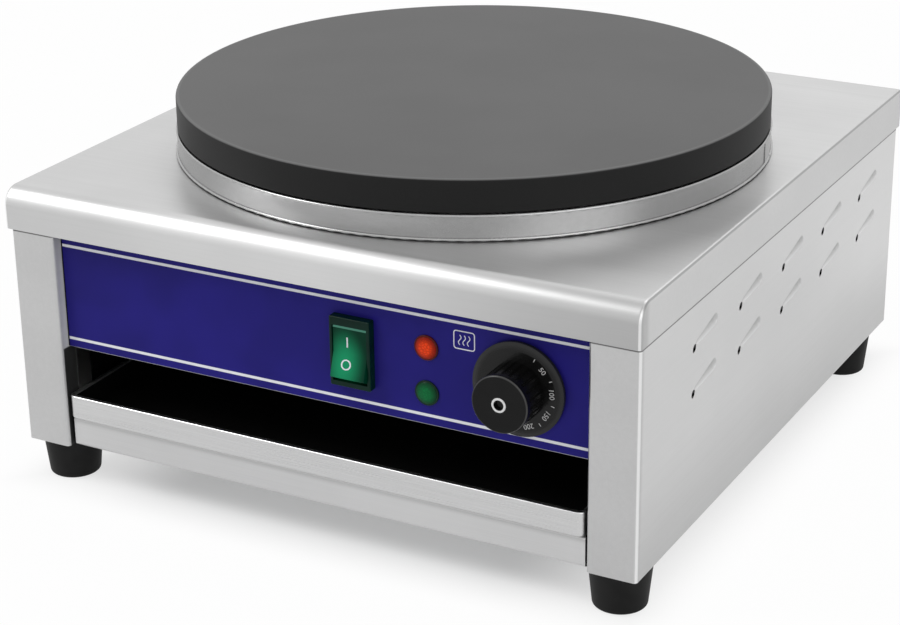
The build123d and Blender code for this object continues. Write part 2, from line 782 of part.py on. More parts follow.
# ============================================================ compartment liner and tray runners
with BuildPart() as compartment_liner:
    with BuildSketch(Plane.XY.offset(base_top_z)):
        with Locations((0, liner_y)):
            Rectangle(2 * (liner_half_width + liner_sheet), liner_rear_y + liner_sheet - liner_y,
                      align=(Align.CENTER, Align.MIN))
    extrude(amount=liner_roof_z + liner_sheet - base_top_z)
    with BuildSketch(Plane.XY.offset(base_top_z)):
        with Locations((0, liner_y)):
            Rectangle(2 * liner_half_width, liner_rear_y - liner_y, align=(Align.CENTER, Align.MIN))
    extrude(amount=liner_roof_z - base_top_z, mode=Mode.SUBTRACT)
    with BuildSketch(Plane.XY.offset(liner_roof_z)):
        with Locations((0, fascia_back_y)):
            Rectangle(2 * (post_inner_x - sheet - base_clearance), liner_y - fascia_back_y,
                      align=(Align.CENTER, Align.MIN))
    extrude(amount=liner_sheet)
    with BuildSketch(Plane.XY.offset(base_top_z)):
        with Locations((-liner_half_width, liner_y)):
            Rectangle(liner_sheet, liner_lead, align=(Align.MAX, Align.MAX))
        with Locations((liner_half_width, liner_y)):
            Rectangle(liner_sheet, liner_lead, align=(Align.MIN, Align.MAX))
    extrude(amount=liner_roof_z - base_top_z)
compartment_liner.part.label = "compartment_liner"
export_step(compartment_liner.part, "parts/compartment_liner.step")

runner_z = tray_z - runner_gap
runner_leg = liner_half_width - tray_half_width + runner_reach
lug_y = tray_rear_y - tray_lug_inset
for runner_name, side in (("left_tray_runner", -1), ("right_tray_runner", 1)):
    wall_x = side * liner_half_width
    inward = Align.MIN if side < 0 else Align.MAX
    with BuildPart() as tray_runner:
        with BuildSketch(front_plane(liner_y)):
            with Locations((wall_x, runner_z)):
                Rectangle(runner_leg, runner_sheet, align=(inward, Align.MAX))
                Rectangle(runner_sheet, runner_drop, align=(inward, Align.MAX))
        extrude(amount=-(liner_rear_y - liner_y))
        with BuildSketch(Plane.XY.offset(runner_z)):
            with Locations((wall_x, tray_rear_y + stop_gap)):
                Rectangle(runner_leg, runner_sheet, align=(inward, Align.MIN))
        extrude(amount=stop_height)
        with BuildSketch(Plane.XY.offset(runner_z)):
            with Locations((wall_x, lug_y - tray_travel - stop_gap)):
                Rectangle(liner_half_width - tray_half_width - lug_side_gap, tray_lug_length,
                          align=(inward, Align.MAX))
        extrude(amount=runner_lug_height)
    tray_runner.part.label = runner_name
    export_step(tray_runner.part, f"parts/{runner_name}.step")

# ============================================================ utensil tray
with BuildPart() as utensil_tray:
    with BuildSketch(Plane.XY.offset(tray_z)):
        with Locations((0, tray_y + tray_depth / 2)):
            RectangleRounded(2 * tray_half_width, tray_depth, tray_corner)
    extrude(amount=tray_height)
    fillet(utensil_tray.faces().sort_by(Axis.Z)[0].edges(), tray_bottom_round)
    with BuildSketch(Plane.XY.offset(tray_z + sheet)):
        with Locations((0, tray_y + tray_depth / 2)):
            RectangleRounded(2 * (tray_half_width - sheet), tray_depth - 2 * sheet, tray_corner - sheet)
    extrude(amount=tray_height, mode=Mode.SUBTRACT)
    with BuildSketch(Plane.XY.offset(tray_top_z - tray_rim_height)):
        with Locations((0, tray_y + tray_depth / 2)):
            RectangleRounded(2 * tray_half_width, tray_depth, tray_corner)
            RectangleRounded(2 * (tray_half_width - tray_rim_width), tray_depth - 2 * tray_rim_width,
                             tray_corner - tray_rim_width, mode=Mode.SUBTRACT)
    extrude(amount=tray_rim_height)
    top_face = utensil_tray.faces().sort_by(Axis.Z)[-1]
    fillet(top_face.outer_wire().edges(), tray_rim_round)
    with BuildSketch(Plane.XY.offset(tray_z + tray_lug_rise)):
        with Locations((-tray_half_width, lug_y)):
            Rectangle(tray_lug_width, tray_lug_length, align=(Align.MAX, Align.MIN))
        with Locations((tray_half_width, lug_y)):
            Rectangle(tray_lug_width, tray_lug_length, align=(Align.MIN, Align.MIN))
    extrude(amount=tray_lug_height)
utensil_tray.part.label = "utensil_tray"
export_step(utensil_tray.part, "parts/utensil_tray.step")

# ============================================================ control fascia and its printed film
switch_body_width = bezel_width - 2 * bezel_lip
switch_body_height = bezel_height - 2 * bezel_lip
thermostat_screw_x = thermostat_width / 2 + thermostat_plate_reach / 2
thermostat_screw_spots = [(knob_x - thermostat_screw_x, knob_z), (knob_x + thermostat_screw_x, knob_z)]
lamp_spots = [(lamp_x, lamp_z) for lamp_z in lamps.values()]


def panel_cutouts(y, depth):
    """Everything the switch, the lamps and the thermostat need cut through a panel."""
    with BuildPart() as cutouts:
        with BuildSketch(front_plane(y)):
            with Locations((switch_x, switch_z)):
                Rectangle(switch_body_width + 2 * switch_fit, switch_body_height + 2 * switch_fit)
            with Locations(*lamp_spots):
                Circle(lamp_barrel_radius + switch_fit)
            with Locations((knob_x, knob_z)):
                Circle(bushing_radius + switch_fit)
        extrude(amount=-depth)
    return cutouts.part


with BuildPart() as control_fascia:
    with BuildSketch(front_plane(fascia_y)):
        with Locations((0, fascia_z)):
            Rectangle(2 * post_inner_x, panel_top_z - fascia_z, align=(Align.CENTER, Align.MIN))
    extrude(amount=-(sheet + fascia_flange))
    with BuildSketch(front_plane(fascia_back_y)):
        with Locations((0, fascia_z + sheet)):
            Rectangle(2 * (post_inner_x - sheet), panel_top_z - fascia_z - 2 * sheet,
                      align=(Align.CENTER, Align.MIN))
    extrude(amount=-fascia_flange, mode=Mode.SUBTRACT)
    add(panel_cutouts(fascia_y, sheet), mode=Mode.SUBTRACT)
    with BuildSketch(front_plane(fascia_y)):
        with Locations(*thermostat_screw_spots):
            Circle(screw_radius + screw_hole_gap)
    extrude(amount=-sheet, mode=Mode.SUBTRACT)
    for flange_x in (-post_inner_x, post_inner_x - sheet):
        with BuildSketch(Plane.YZ.offset(flange_x)):
            with Locations(*[(fascia_screw_y, z) for z in fascia_screw_heights]):
                Circle(screw_radius + screw_hole_gap)
        extrude(amount=sheet, mode=Mode.SUBTRACT)
control_fascia.part.label = "control_fascia"
export_step(control_fascia.part, "parts/control_fascia.step")

with BuildPart() as control_overlay:
    with BuildSketch(front_plane(film_y)):
        with Locations((0, fascia_z + film_edge)):
            Rectangle(2 * (post_inner_x - film_edge), apron_z + film_lap - fascia_z - film_edge,
                      align=(Align.CENTER, Align.MIN))
    extrude(amount=-film)
    add(panel_cutouts(film_y, film), mode=Mode.SUBTRACT)
control_overlay.part.label = "control_overlay"
export_step(control_overlay.part, "parts/control_overlay.step")

# ============================================================ rocker switch
rocker_z = switch_z - rocker_drop
pivot_y = bezel_y + pivot_depth
opening_width = rocker_width + 2 * rocker_side_gap
half_swing = rocker_swing / 2
rocker_apex = (pivot_depth - rocker_sink) / cos(radians(half_swing))
rocker_tip = rocker_apex + rocker_radius * sin(radians(half_swing)) / cos(radians(half_swing))
pressed_plane = Plane(origin=(switch_x - rocker_width / 2, pivot_y, rocker_z),
                      x_dir=(0, cos(radians(half_swing)), -sin(radians(half_swing))), z_dir=(1, 0, 0))

with BuildPart() as switch_housing:
    with BuildSketch(front_plane(film_y)):
        with Locations((switch_x, switch_z)):
            RectangleRounded(bezel_width, bezel_height, bezel_lip)
    extrude(amount=bezel_proud)
    fillet(switch_housing.faces().sort_by(Axis.Y)[0].edges(), bezel_lip)
    with BuildSketch(front_plane(film_y)):
        with Locations((switch_x, switch_z)):
            Rectangle(switch_body_width, switch_body_height)
    extrude(amount=-switch_body_depth)
    with BuildSketch(front_plane(bezel_y)):
        with Locations((switch_x, rocker_z)):
            Rectangle(opening_width, 2 * (rocker_radius + rocker_end_gap))
    extrude(amount=-rocker_well, mode=Mode.SUBTRACT)
    with BuildSketch(Plane.YZ.offset(switch_x - rocker_width / 2 - pivot_length - pivot_fit)):
        with Locations((pivot_y, rocker_z)):
            Circle(pivot_radius + pivot_fit)
    extrude(amount=rocker_width + 2 * (pivot_length + pivot_fit), mode=Mode.SUBTRACT)
switch_housing.part.label = "switch_housing"
export_step(switch_housing.part, "parts/switch_housing.step")

with BuildPart() as switch_rocker:
    with BuildSketch(pressed_plane):
        with BuildLine():
            Polyline((-rocker_apex, 0), (-rocker_tip, rocker_radius), (rocker_back, rocker_radius),
                     (rocker_back, -rocker_radius), (-rocker_tip, -rocker_radius), close=True)
        make_face()
        Circle(rocker_radius, mode=Mode.INTERSECT)
        Circle(rocker_hub_radius)
    extrude(amount=rocker_width)
    fillet(switch_rocker.edges().filter_by(Axis.X).sort_by(Axis.Y)[0], rocker_edge)
    with BuildSketch(pressed_plane.offset(-pivot_length)):
        Circle(pivot_radius)
    extrude(amount=rocker_width + 2 * pivot_length)
switch_rocker.part.label = "switch_rocker"
export_step(switch_rocker.part, "parts/switch_rocker.step")

switch_back_y = film_y + switch_body_depth
switch_blade_spots = blade_spots(switch_x, switch_z, switch_blade_side, switch_blade_rise)
with BuildPart() as switch_terminals:
    with BuildSketch(front_plane(switch_back_y)):
        with Locations(*switch_blade_spots):
            Rectangle(blade_thickness, blade_width)
    extrude(amount=-blade_length)
switch_terminals.part.label = "switch_terminals"
export_step(switch_terminals.part, "parts/switch_terminals.step")

# ============================================================ signal lamps
lamp_y = film_y - lamp_rim
lens_curve = (lens_radius**2 + lens_rise**2) / (2 * lens_rise)
for colour, lamp_z in lamps.items():
    with BuildPart() as lamp_body:
        with BuildSketch(front_plane(film_y)):
            with Locations((lamp_x, lamp_z)):
                Circle(lamp_rim_radius)
        extrude(amount=lamp_rim)
        fillet(lamp_body.faces().sort_by(Axis.Y)[0].edges(), lamp_rim_round)
        with BuildSketch(front_plane(film_y)):
            with Locations((lamp_x, lamp_z)):
                Circle(lamp_barrel_radius)
        extrude(amount=-lamp_barrel_depth)
        with BuildSketch(front_plane(lamp_y)):
            with Locations((lamp_x, lamp_z)):
                Circle(lens_radius)
        extrude(amount=-lens_seat, mode=Mode.SUBTRACT)
        with BuildSketch(front_plane(film_y + lamp_barrel_depth)):
            with Locations(*[(lamp_x + side * lamp_barrel_radius / 2, lamp_z) for side in (-1, 1)]):
                Rectangle(blade_thickness, blade_width / 2)
        extrude(amount=-blade_length)
    lamp_body.part.label = f"{colour}_lamp_body"
    export_step(lamp_body.part, f"parts/{colour}_lamp_body.step")

    with BuildPart() as lamp_lens:
        with BuildSketch(front_plane(lamp_y + lens_seat)):
            with Locations((lamp_x, lamp_z)):
                Circle(lens_radius)
        extrude(amount=lens_seat + lens_rise)
        with Locations((lamp_x, lamp_y - lens_rise + lens_curve, lamp_z)):
            Sphere(lens_curve, mode=Mode.INTERSECT)
    lamp_lens.part.label = f"{colour}_lamp_lens"
    export_step(lamp_lens.part, f"parts/{colour}_lamp_lens.step")

# ============================================================ thermostat
thermostat_y = fascia_back_y + thermostat_plate
thermostat_back_y = thermostat_y + thermostat_depth
shaft_front_y = film_y - shaft_reach
shaft_rear_y = fascia_back_y + shaft_inside
with BuildPart() as thermostat_body:
    with BuildSketch(front_plane(fascia_back_y)):
        with Locations((knob_x, knob_z)):
            SlotOverall(thermostat_width + 2 * thermostat_plate_reach, thermostat_height / 2)
        with Locations(*thermostat_screw_spots):
            Circle(screw_radius + screw_hole_gap, mode=Mode.SUBTRACT)
    extrude(amount=-thermostat_plate)
    with BuildSketch(front_plane(thermostat_y)):
        with Locations((knob_x, knob_z)):
            Rectangle(thermostat_width, thermostat_height)
    extrude(amount=-thermostat_depth)
    with BuildSketch(front_plane(fascia_back_y)):
        with Locations((knob_x, knob_z)):
            Circle(bushing_radius)
    extrude(amount=fascia_back_y - film_y)
    with BuildSketch(front_plane(film_y)):
        with Locations((knob_x, knob_z)):
            Circle(shaft_radius + shaft_fit)
    extrude(amount=-(shaft_rear_y + shaft_end_gap - film_y), mode=Mode.SUBTRACT)
thermostat_body.part.label = "thermostat_body"
export_step(thermostat_body.part, "parts/thermostat_body.step")

with BuildPart() as thermostat_shaft:
    with BuildSketch(front_plane(shaft_front_y)):
        with Locations((knob_x, knob_z)):
            Circle(shaft_radius)
    extrude(amount=-(shaft_rear_y - shaft_front_y))
thermostat_shaft.part.label = "thermostat_shaft"
export_step(thermostat_shaft.part, "parts/thermostat_shaft.step")

thermostat_blade_spots = blade_spots(knob_x, knob_z, thermostat_blade_side, thermostat_blade_rise)
with BuildPart() as thermostat_terminals:
    with BuildSketch(front_plane(thermostat_back_y)):
        with Locations(*thermostat_blade_spots):
            Rectangle(blade_thickness, blade_width)
    extrude(amount=-blade_length)
thermostat_terminals.part.label = "thermostat_terminals"
export_step(thermostat_terminals.part, "parts/thermostat_terminals.step")

with BuildPart() as thermostat_screws:
    spots = [(-x, z) for x, z in thermostat_screw_spots]
    add(screws(back_plane(thermostat_y), spots, length=thermostat_plate + sheet))
thermostat_screws.part.label = "thermostat_screws"
export_step(thermostat_screws.part, "parts/thermostat_screws.step")

with BuildPart() as thermostat_capillary:
    thermostat_middle_y = thermostat_y + thermostat_depth / 2
    capillary_z = bar_z - capillary_run_drop
    add(tube([(-bulb_length / 2, bulb_y, bulb_z), (riser_x, bulb_y, bulb_z), (riser_x, bulb_y, capillary_z),
              (knob_x, thermostat_middle_y, capillary_z),
              (knob_x, thermostat_middle_y, knob_z + thermostat_height / 2)], capillary_radius, capillary_bend))
    with BuildSketch(Plane.YZ.offset(-bulb_length / 2)):
        with Locations((bulb_y, bulb_z)):
            Circle(bulb_radius)
    extrude(amount=bulb_length)
thermostat_capillary.part.label = "thermostat_capillary"
export_step(thermostat_capillary.part, "parts/thermostat_capillary.step")

with BuildPart() as bulb_clip:
    saddle_radius = bulb_radius + stud_fit
    with BuildSketch(Plane.YZ.offset(-bulb_clip_length / 2)):
        with Locations((bulb_y, bulb_z)):
            Circle(saddle_radius + bulb_clip_wall)
            Rectangle(2 * (saddle_radius + bulb_clip_wall), bulb_radius, align=(Align.CENTER, Align.MIN))
        with Locations((bulb_y, web_z)):
            Rectangle(bulb_clip_width, bulb_clip_wall, align=(Align.CENTER, Align.MAX))
            Rectangle(bulb_clip_width, bulb_radius, align=(Align.CENTER, Align.MIN), mode=Mode.SUBTRACT)
        with Locations((bulb_y, bulb_z)):
            Circle(saddle_radius, mode=Mode.SUBTRACT)
            Rectangle(2 * saddle_radius, 2 * bulb_radius, align=(Align.CENTER, Align.MIN), mode=Mode.SUBTRACT)
    extrude(amount=bulb_clip_length)
bulb_clip.part.label = "bulb_clip"
export_step(bulb_clip.part, "parts/bulb_clip.step")

# ============================================================ thermostat knob
with BuildPart() as knob_cap:
    with BuildSketch(front_plane(skirt_front_y)):
        with Locations((knob_x, knob_z)):
            Circle(cap_radius)
    extrude(amount=skirt_front_y - cap_y)
    fillet(knob_cap.faces().sort_by(Axis.Y)[0].edges(), cap_edge)
    with BuildSketch(front_plane(skirt_front_y)):
        with Locations((knob_x, knob_z)):
            with PolarLocations(cap_radius, cap_flute_count):
                Circle(cap_flute_radius)
    extrude(amount=skirt_front_y - cap_y - cap_flute_front, mode=Mode.SUBTRACT)
    with BuildSketch(front_plane(skirt_front_y)):
        with Locations((knob_x, knob_z)):
            Circle(hub_radius)
    extrude(amount=-skirt_thickness)
    with BuildSketch(front_plane(skirt_back_y)):
        with Locations((knob_x, knob_z)):
            Circle(shaft_radius + shaft_seat)
    extrude(amount=skirt_back_y - shaft_front_y + shaft_end_gap, mode=Mode.SUBTRACT)
    with BuildSketch(front_plane(cap_y)):
        with Locations((knob_x, knob_z)):
            Circle(marker_radius + shaft_seat)
    extrude(amount=-marker_depth, mode=Mode.SUBTRACT)
knob_cap.part.label = "knob_cap"
export_step(knob_cap.part, "parts/knob_cap.step")

with BuildPart() as knob_skirt:
    with BuildSketch(front_plane(skirt_back_y)):
        with Locations((knob_x, knob_z)):
            Circle(skirt_radius)
    extrude(amount=skirt_thickness)
    chamfer(knob_skirt.faces().sort_by(Axis.Y)[0].edges(), skirt_bevel, skirt_bevel_width)
    with BuildSketch(front_plane(skirt_back_y)):
        with Locations((knob_x, knob_z)):
            Circle(hub_radius + shaft_seat)
    extrude(amount=skirt_thickness, mode=Mode.SUBTRACT)
knob_skirt.part.label = "knob_skirt"
export_step(knob_skirt.part, "parts/knob_skirt.step")

with BuildPart() as knob_marker:
    with BuildSketch(front_plane(cap_y + marker_depth)):
        with Locations((knob_x, knob_z)):
            Circle(marker_radius)
            Circle(marker_bore, mode=Mode.SUBTRACT)
    extrude(amount=marker_depth + marker_proud)
knob_marker.part.label = "knob_marker"
export_step(knob_marker.part, "parts/knob_marker.step")

# ============================================================ mains terminals
pole_spots = [(terminal_x + pole * terminal_pole_pitch, terminal_y) for pole in (-1, 0, 1)]
entry_z = base_top_z + terminal_height / 2
pole_screw_spots = [(x, y + side * pole_screw_offset) for x, y in pole_spots for side in (-1, 1)]
pole_screw_hole = screw_radius + screw_hole_gap
with BuildPart() as terminal_block:
    with BuildSketch(Plane.XY.offset(base_top_z)):
        with Locations((terminal_x, terminal_y)):
            Rectangle(terminal_width, terminal_depth)
    extrude(amount=terminal_height)
    fillet(terminal_block.edges().filter_by(Axis.Z), bezel_lip)
    with BuildSketch(Plane.XY.offset(base_top_z)):
        with Locations(*terminal_spots):
            Circle(screw_radius)
    extrude(amount=-base_sheet)
    with BuildSketch(front_plane(terminal_y + terminal_depth / 2)):
        with Locations(*[(x, entry_z) for x, y in pole_spots]):
            Circle(terminal_entry)
    extrude(amount=terminal_depth, mode=Mode.SUBTRACT)
    with BuildSketch(Plane.XY.offset(entry_z)):
        with Locations(*pole_screw_spots):
            Circle(pole_screw_hole)
    extrude(amount=terminal_height / 2, mode=Mode.SUBTRACT)
terminal_block.part.label = "terminal_block"
export_step(terminal_block.part, "parts/terminal_block.step")

with BuildPart() as terminal_screws:
    terminal_top_z = base_top_z + terminal_height
    add(screws(Plane.XY.offset(terminal_top_z), pole_screw_spots, length=terminal_height / 2 - terminal_entry,
               head_radius=pole_screw_hole + screw_hole_gap))
terminal_screws.part.label = "terminal_screws"
export_step(terminal_screws.part, "parts/terminal_screws.step")

# ============================================================ cable gland
gland_plane = back_plane(rear_face_y)
gland_spot = (-gland_x, gland_z)
gland_end = cover_rear_y + gland_reach - rear_face_y
seal_end = gland_end - gland_wall - gland_fit
with BuildPart() as gland_body:
    with BuildSketch(gland_plane):
        with Locations(gland_spot):
            RegularPolygon(gland_hex_flats / 2, 6, major_radius=False)
    extrude(amount=gland_hex_height)
    with BuildSketch(gland_plane.offset(-gland_inside)):
        with Locations(gland_spot):
            Circle(gland_thread_radius)
    extrude(amount=gland_inside + seal_end)
    with BuildSketch(gland_plane.offset(-gland_inside)):
        with Locations(gland_spot):
            Circle(nut_mouth_radius)
    extrude(amount=gland_inside + seal_end, mode=Mode.SUBTRACT)
    with BuildSketch(gland_plane.offset(seal_end - seal_length)):
        with Locations(gland_spot):
            Circle(seal_radius)
    extrude(amount=seal_length, mode=Mode.SUBTRACT)
gland_body.part.label = "gland_body"
export_step(gland_body.part, "parts/gland_body.step")

with BuildPart() as gland_nut:
    with BuildSketch(gland_plane.offset(gland_hex_height)):
        with Locations(gland_spot):
            RegularPolygon(gland_nut_flats / 2, 6, major_radius=False)
    extrude(amount=gland_end - gland_hex_height)
    nut_face = gland_nut.faces().sort_by(Axis.Y)[-1]
    chamfer(nut_face.edges(), bezel_lip)
    with BuildSketch(gland_plane.offset(gland_hex_height)):
        with Locations(gland_spot):
            Circle(gland_thread_radius + stud_fit)
    extrude(amount=gland_end - gland_wall - gland_hex_height, mode=Mode.SUBTRACT)
    with BuildSketch(gland_plane.offset(gland_hex_height)):
        with Locations(gland_spot):
            Circle(nut_mouth_radius)
    extrude(amount=gland_end - gland_hex_height, mode=Mode.SUBTRACT)
gland_nut.part.label = "gland_nut"
export_step(gland_nut.part, "parts/gland_nut.step")

with BuildPart() as gland_locknut:
    add(hex_nuts(gland_plane.offset(-sheet - locknut_height), [gland_spot], gland_hex_flats, locknut_height,
                 gland_thread_radius + stud_fit))
gland_locknut.part.label = "gland_locknut"
export_step(gland_locknut.part, "parts/gland_locknut.step")

with BuildPart() as gland_seal:
    with BuildSketch(gland_plane.offset(seal_end - seal_length)):
        with Locations(gland_spot):
            Circle(seal_radius)
            Circle(cable_radius, mode=Mode.SUBTRACT)
    extrude(amount=seal_length)
gland_seal.part.label = "gland_seal"
export_step(gland_seal.part, "parts/gland_seal.step")

# ============================================================ earth bolt, its nut and its wire
earth_spot = (-earth_x, earth_z)
lug_plane = gland_plane.offset(-sheet - lug_thickness)
with BuildPart() as earth_fixings:
    with BuildSketch(lug_plane.offset(-earth_nut)):
        with Locations(earth_spot):
            RegularPolygon(earth_flats / 2, 6, major_radius=False)
    extrude(amount=earth_nut)
    with BuildSketch(lug_plane):
        with Locations(earth_spot):
            Circle(earth_shank_radius)
    extrude(amount=lug_thickness + sheet + earth_nut)
    with BuildSketch(gland_plane.offset(earth_nut)):
        with Locations(earth_spot):
            Circle(earth_radius)
    extrude(amount=earth_reach - earth_nut)
    add(hex_nuts(gland_plane, [earth_spot], earth_flats, earth_nut, earth_shank_radius + stud_fit))
earth_fixings.part.label = "earth_fixings"
export_step(earth_fixings.part, "parts/earth_fixings.step")

with BuildPart() as earth_wire:
    wire_y = side_rear_y - wire_radius - wire_gap
    block_rear_y = terminal_y + terminal_depth / 2
    with BuildSketch(lug_plane):
        with Locations(earth_spot):
            Circle(lug_radius)
            Rectangle(2 * lug_radius, 2 * wire_radius, align=(Align.MIN, Align.CENTER))
            Circle(earth_shank_radius + stud_fit, mode=Mode.SUBTRACT)
    extrude(amount=lug_thickness)
    add(tube([(earth_x - lug_radius - wire_radius, wire_y, earth_z), (gland_x, wire_y, earth_z),
              (pole_spots[2][0], block_rear_y + 2 * wire_bend, entry_z),
              (pole_spots[2][0], block_rear_y - wire_entry, entry_z)], wire_radius, wire_bend / 2))
earth_wire.part.label = "earth_wire"
export_step(earth_wire.part, "parts/earth_wire.step")

# ============================================================ supply and heater wires
with BuildPart() as supply_wires:
    wire_rise_y = liner_rear_y + wire_stand_off
    wire_turn_y = switch_back_y + wire_stand_off
    run_z = liner_roof_z + 2 * sheet + wire_bend / 2
    for pole, (blade_x, blade_z) in zip(pole_spots[:2], (switch_blade_spots[0], switch_blade_spots[2])):
        add(tube([(pole[0], terminal_y - wire_entry, entry_z), (pole[0], wire_rise_y, entry_z),
                  (pole[0], wire_rise_y, run_z), (blade_x, wire_turn_y, run_z), (blade_x, wire_turn_y, blade_z),
                  (blade_x, switch_back_y + blade_length, blade_z)], wire_radius, wire_bend))
supply_wires.part.label = "supply_wires"
export_step(supply_wires.part, "parts/supply_wires.step")

thermostat_blade_y = thermostat_back_y + blade_length
switch_blade_y = switch_back_y + blade_length
heater_runs = [(thermostat_blade_spots[1], thermostat_blade_y, leg_spots[0]),
               (thermostat_blade_spots[3], thermostat_blade_y, leg_spots[2]),
               (switch_blade_spots[1], switch_blade_y, leg_spots[1]),
               (switch_blade_spots[3], switch_blade_y, leg_spots[3])]
with BuildPart() as heater_wires:
    for level, ((start_x, start_z), start_y, leg) in enumerate(heater_runs):
        turn_z = leg_end_z - (level + 2) * wire_bend
        add(tube([(start_x, start_y, start_z), (start_x, start_y + 2 * wire_bend, start_z), (*leg, turn_z),
                  (*leg, leg_end_z)], wire_radius, wire_bend))
heater_wires.part.label = "heater_wires"
export_step(heater_wires.part, "parts/heater_wires.step")

# ============================================================ feet and their fixings
foot_names = ("front_left_foot", "front_right_foot", "rear_left_foot", "rear_right_foot")
for foot_name, (foot_centre_x, foot_centre_y) in zip(foot_names, foot_spots):
    with BuildPart() as foot:
        with Locations((foot_centre_x, foot_centre_y, 0)):
            Cone(foot_bottom_radius, foot_top_radius, foot_height,
                 align=(Align.CENTER, Align.CENTER, Align.MIN))
        fillet(foot.faces().sort_by(Axis.Z)[0].edges(), foot_edge_round)
        with Locations((foot_centre_x, foot_centre_y, 0)):
            Cylinder(foot_bore, foot_bore_depth, align=(Align.CENTER, Align.CENTER, Align.MIN),
                     mode=Mode.SUBTRACT)
            Cylinder(foot_hole, foot_height, align=(Align.CENTER, Align.CENTER, Align.MIN), mode=Mode.SUBTRACT)
    foot.part.label = foot_name
    export_step(foot.part, f"parts/{foot_name}.step")

below = Plane(origin=(0, 0, foot_bore_depth), x_dir=(1, 0, 0), z_dir=(0, 0, -1))
foot_screw_spots = [(x, -y) for x, y in foot_spots]
foot_screw_length = base_top_z + bolt_nut + foot_screw_end - foot_bore_depth
with BuildPart() as foot_screws:
    add(screws(below, foot_screw_spots, length=foot_screw_length, radius=bolt_radius,
               head_radius=foot_bore - hole_clearance))
foot_screws.part.label = "foot_screws"
export_step(foot_screws.part, "parts/foot_screws.step")

with BuildPart() as foot_nuts:
    add(hex_nuts(Plane.XY.offset(base_top_z), foot_spots, bolt_flats, bolt_nut, bolt_radius + stud_fit))
foot_nuts.part.label = "foot_nuts"
export_step(foot_nuts.part, "parts/foot_nuts.step")

# ============================================================ screws that close the housing
with BuildPart() as rear_panel_screws:
    add(screws(back_plane(rear_face_y), rear_screw_spots))
rear_panel_screws.part.label = "rear_panel_screws"
export_step(rear_panel_screws.part, "parts/rear_panel_screws.step")

with BuildPart() as cover_screws:
    add(screws(back_plane(cover_rear_y), cover_screw_spots))
cover_screws.part.label = "cover_screws"
export_step(cover_screws.part, "parts/cover_screws.step")

with BuildPart() as fascia_screws:
    for side in (-1, 1):
        flange_x = side * (post_inner_x - sheet)
        flange_plane = Plane(origin=(flange_x, 0, 0), x_dir=(0, -side, 0), z_dir=(-side, 0, 0))
        add(screws(flange_plane, [(-side * fascia_screw_y, z) for z in fascia_screw_heights]))
fascia_screws.part.label = "fascia_screws"
export_step(fascia_screws.part, "parts/fascia_screws.step")

with BuildPart() as base_screws:
    underside = Plane(origin=(0, 0, base_z), x_dir=(1, 0, 0), z_dir=(0, 0, -1))
    add(screws(underside, [(x, -y) for x, y in base_screw_spots]))
base_screws.part.label = "base_screws"
export_step(base_screws.part, "parts/base_screws.step")
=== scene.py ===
"""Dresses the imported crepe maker: bare steel housing, cast griddle plate, printed panel, knob and tray."""

import json
import logging
import math
from dataclasses import dataclass, replace
from enum import Enum
from typing import Any, Optional, Sequence, Union

import bpy
from mathutils import Matrix, Vector

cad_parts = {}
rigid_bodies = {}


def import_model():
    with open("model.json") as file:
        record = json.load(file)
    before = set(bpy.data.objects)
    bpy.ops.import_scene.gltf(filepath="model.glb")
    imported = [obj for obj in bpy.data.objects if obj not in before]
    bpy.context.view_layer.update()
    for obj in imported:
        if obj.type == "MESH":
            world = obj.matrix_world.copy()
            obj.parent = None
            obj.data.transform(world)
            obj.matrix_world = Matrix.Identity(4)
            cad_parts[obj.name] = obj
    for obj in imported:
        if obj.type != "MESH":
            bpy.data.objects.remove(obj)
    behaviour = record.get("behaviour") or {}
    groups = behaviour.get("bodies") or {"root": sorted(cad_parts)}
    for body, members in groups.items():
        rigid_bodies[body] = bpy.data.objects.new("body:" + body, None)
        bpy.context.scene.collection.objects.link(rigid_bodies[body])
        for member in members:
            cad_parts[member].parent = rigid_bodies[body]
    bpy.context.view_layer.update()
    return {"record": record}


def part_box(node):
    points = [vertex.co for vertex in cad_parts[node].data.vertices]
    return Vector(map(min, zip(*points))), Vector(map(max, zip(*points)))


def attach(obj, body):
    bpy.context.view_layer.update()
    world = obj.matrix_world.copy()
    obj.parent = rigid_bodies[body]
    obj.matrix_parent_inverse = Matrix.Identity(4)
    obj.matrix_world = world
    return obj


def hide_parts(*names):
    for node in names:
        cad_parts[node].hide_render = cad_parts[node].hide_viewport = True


LOG = logging.getLogger("crepe_maker")
# Metres in a millimetre.
MM = 0.001
# Edges of a sheet that bend more than this many degrees stay sharp.
SHARP = 35.0
# How far the large faces lead a smooth piece's normals, so that flats stay flat.
FLAT_WEIGHT = 80
# Corners nearer to each other than this, in metres, are one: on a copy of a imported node, and on a new piece.
COPY_REACH = 0.000002
NEW_REACH = 0.000001
# Share of a letter's size that a capital fills, and the steps along each curve of a letter.
CAPITAL_SHARE = 0.7
LETTER_STEPS = 3
# Span of an edge that is a millimetre soft.
SOFT_STEP = (0.0, 1.0)

Value = Union["Socket", int, float]
Place = tuple["Socket", "Socket", "Socket"]
Span = tuple[float, float]
Colour = tuple[float, float, float]


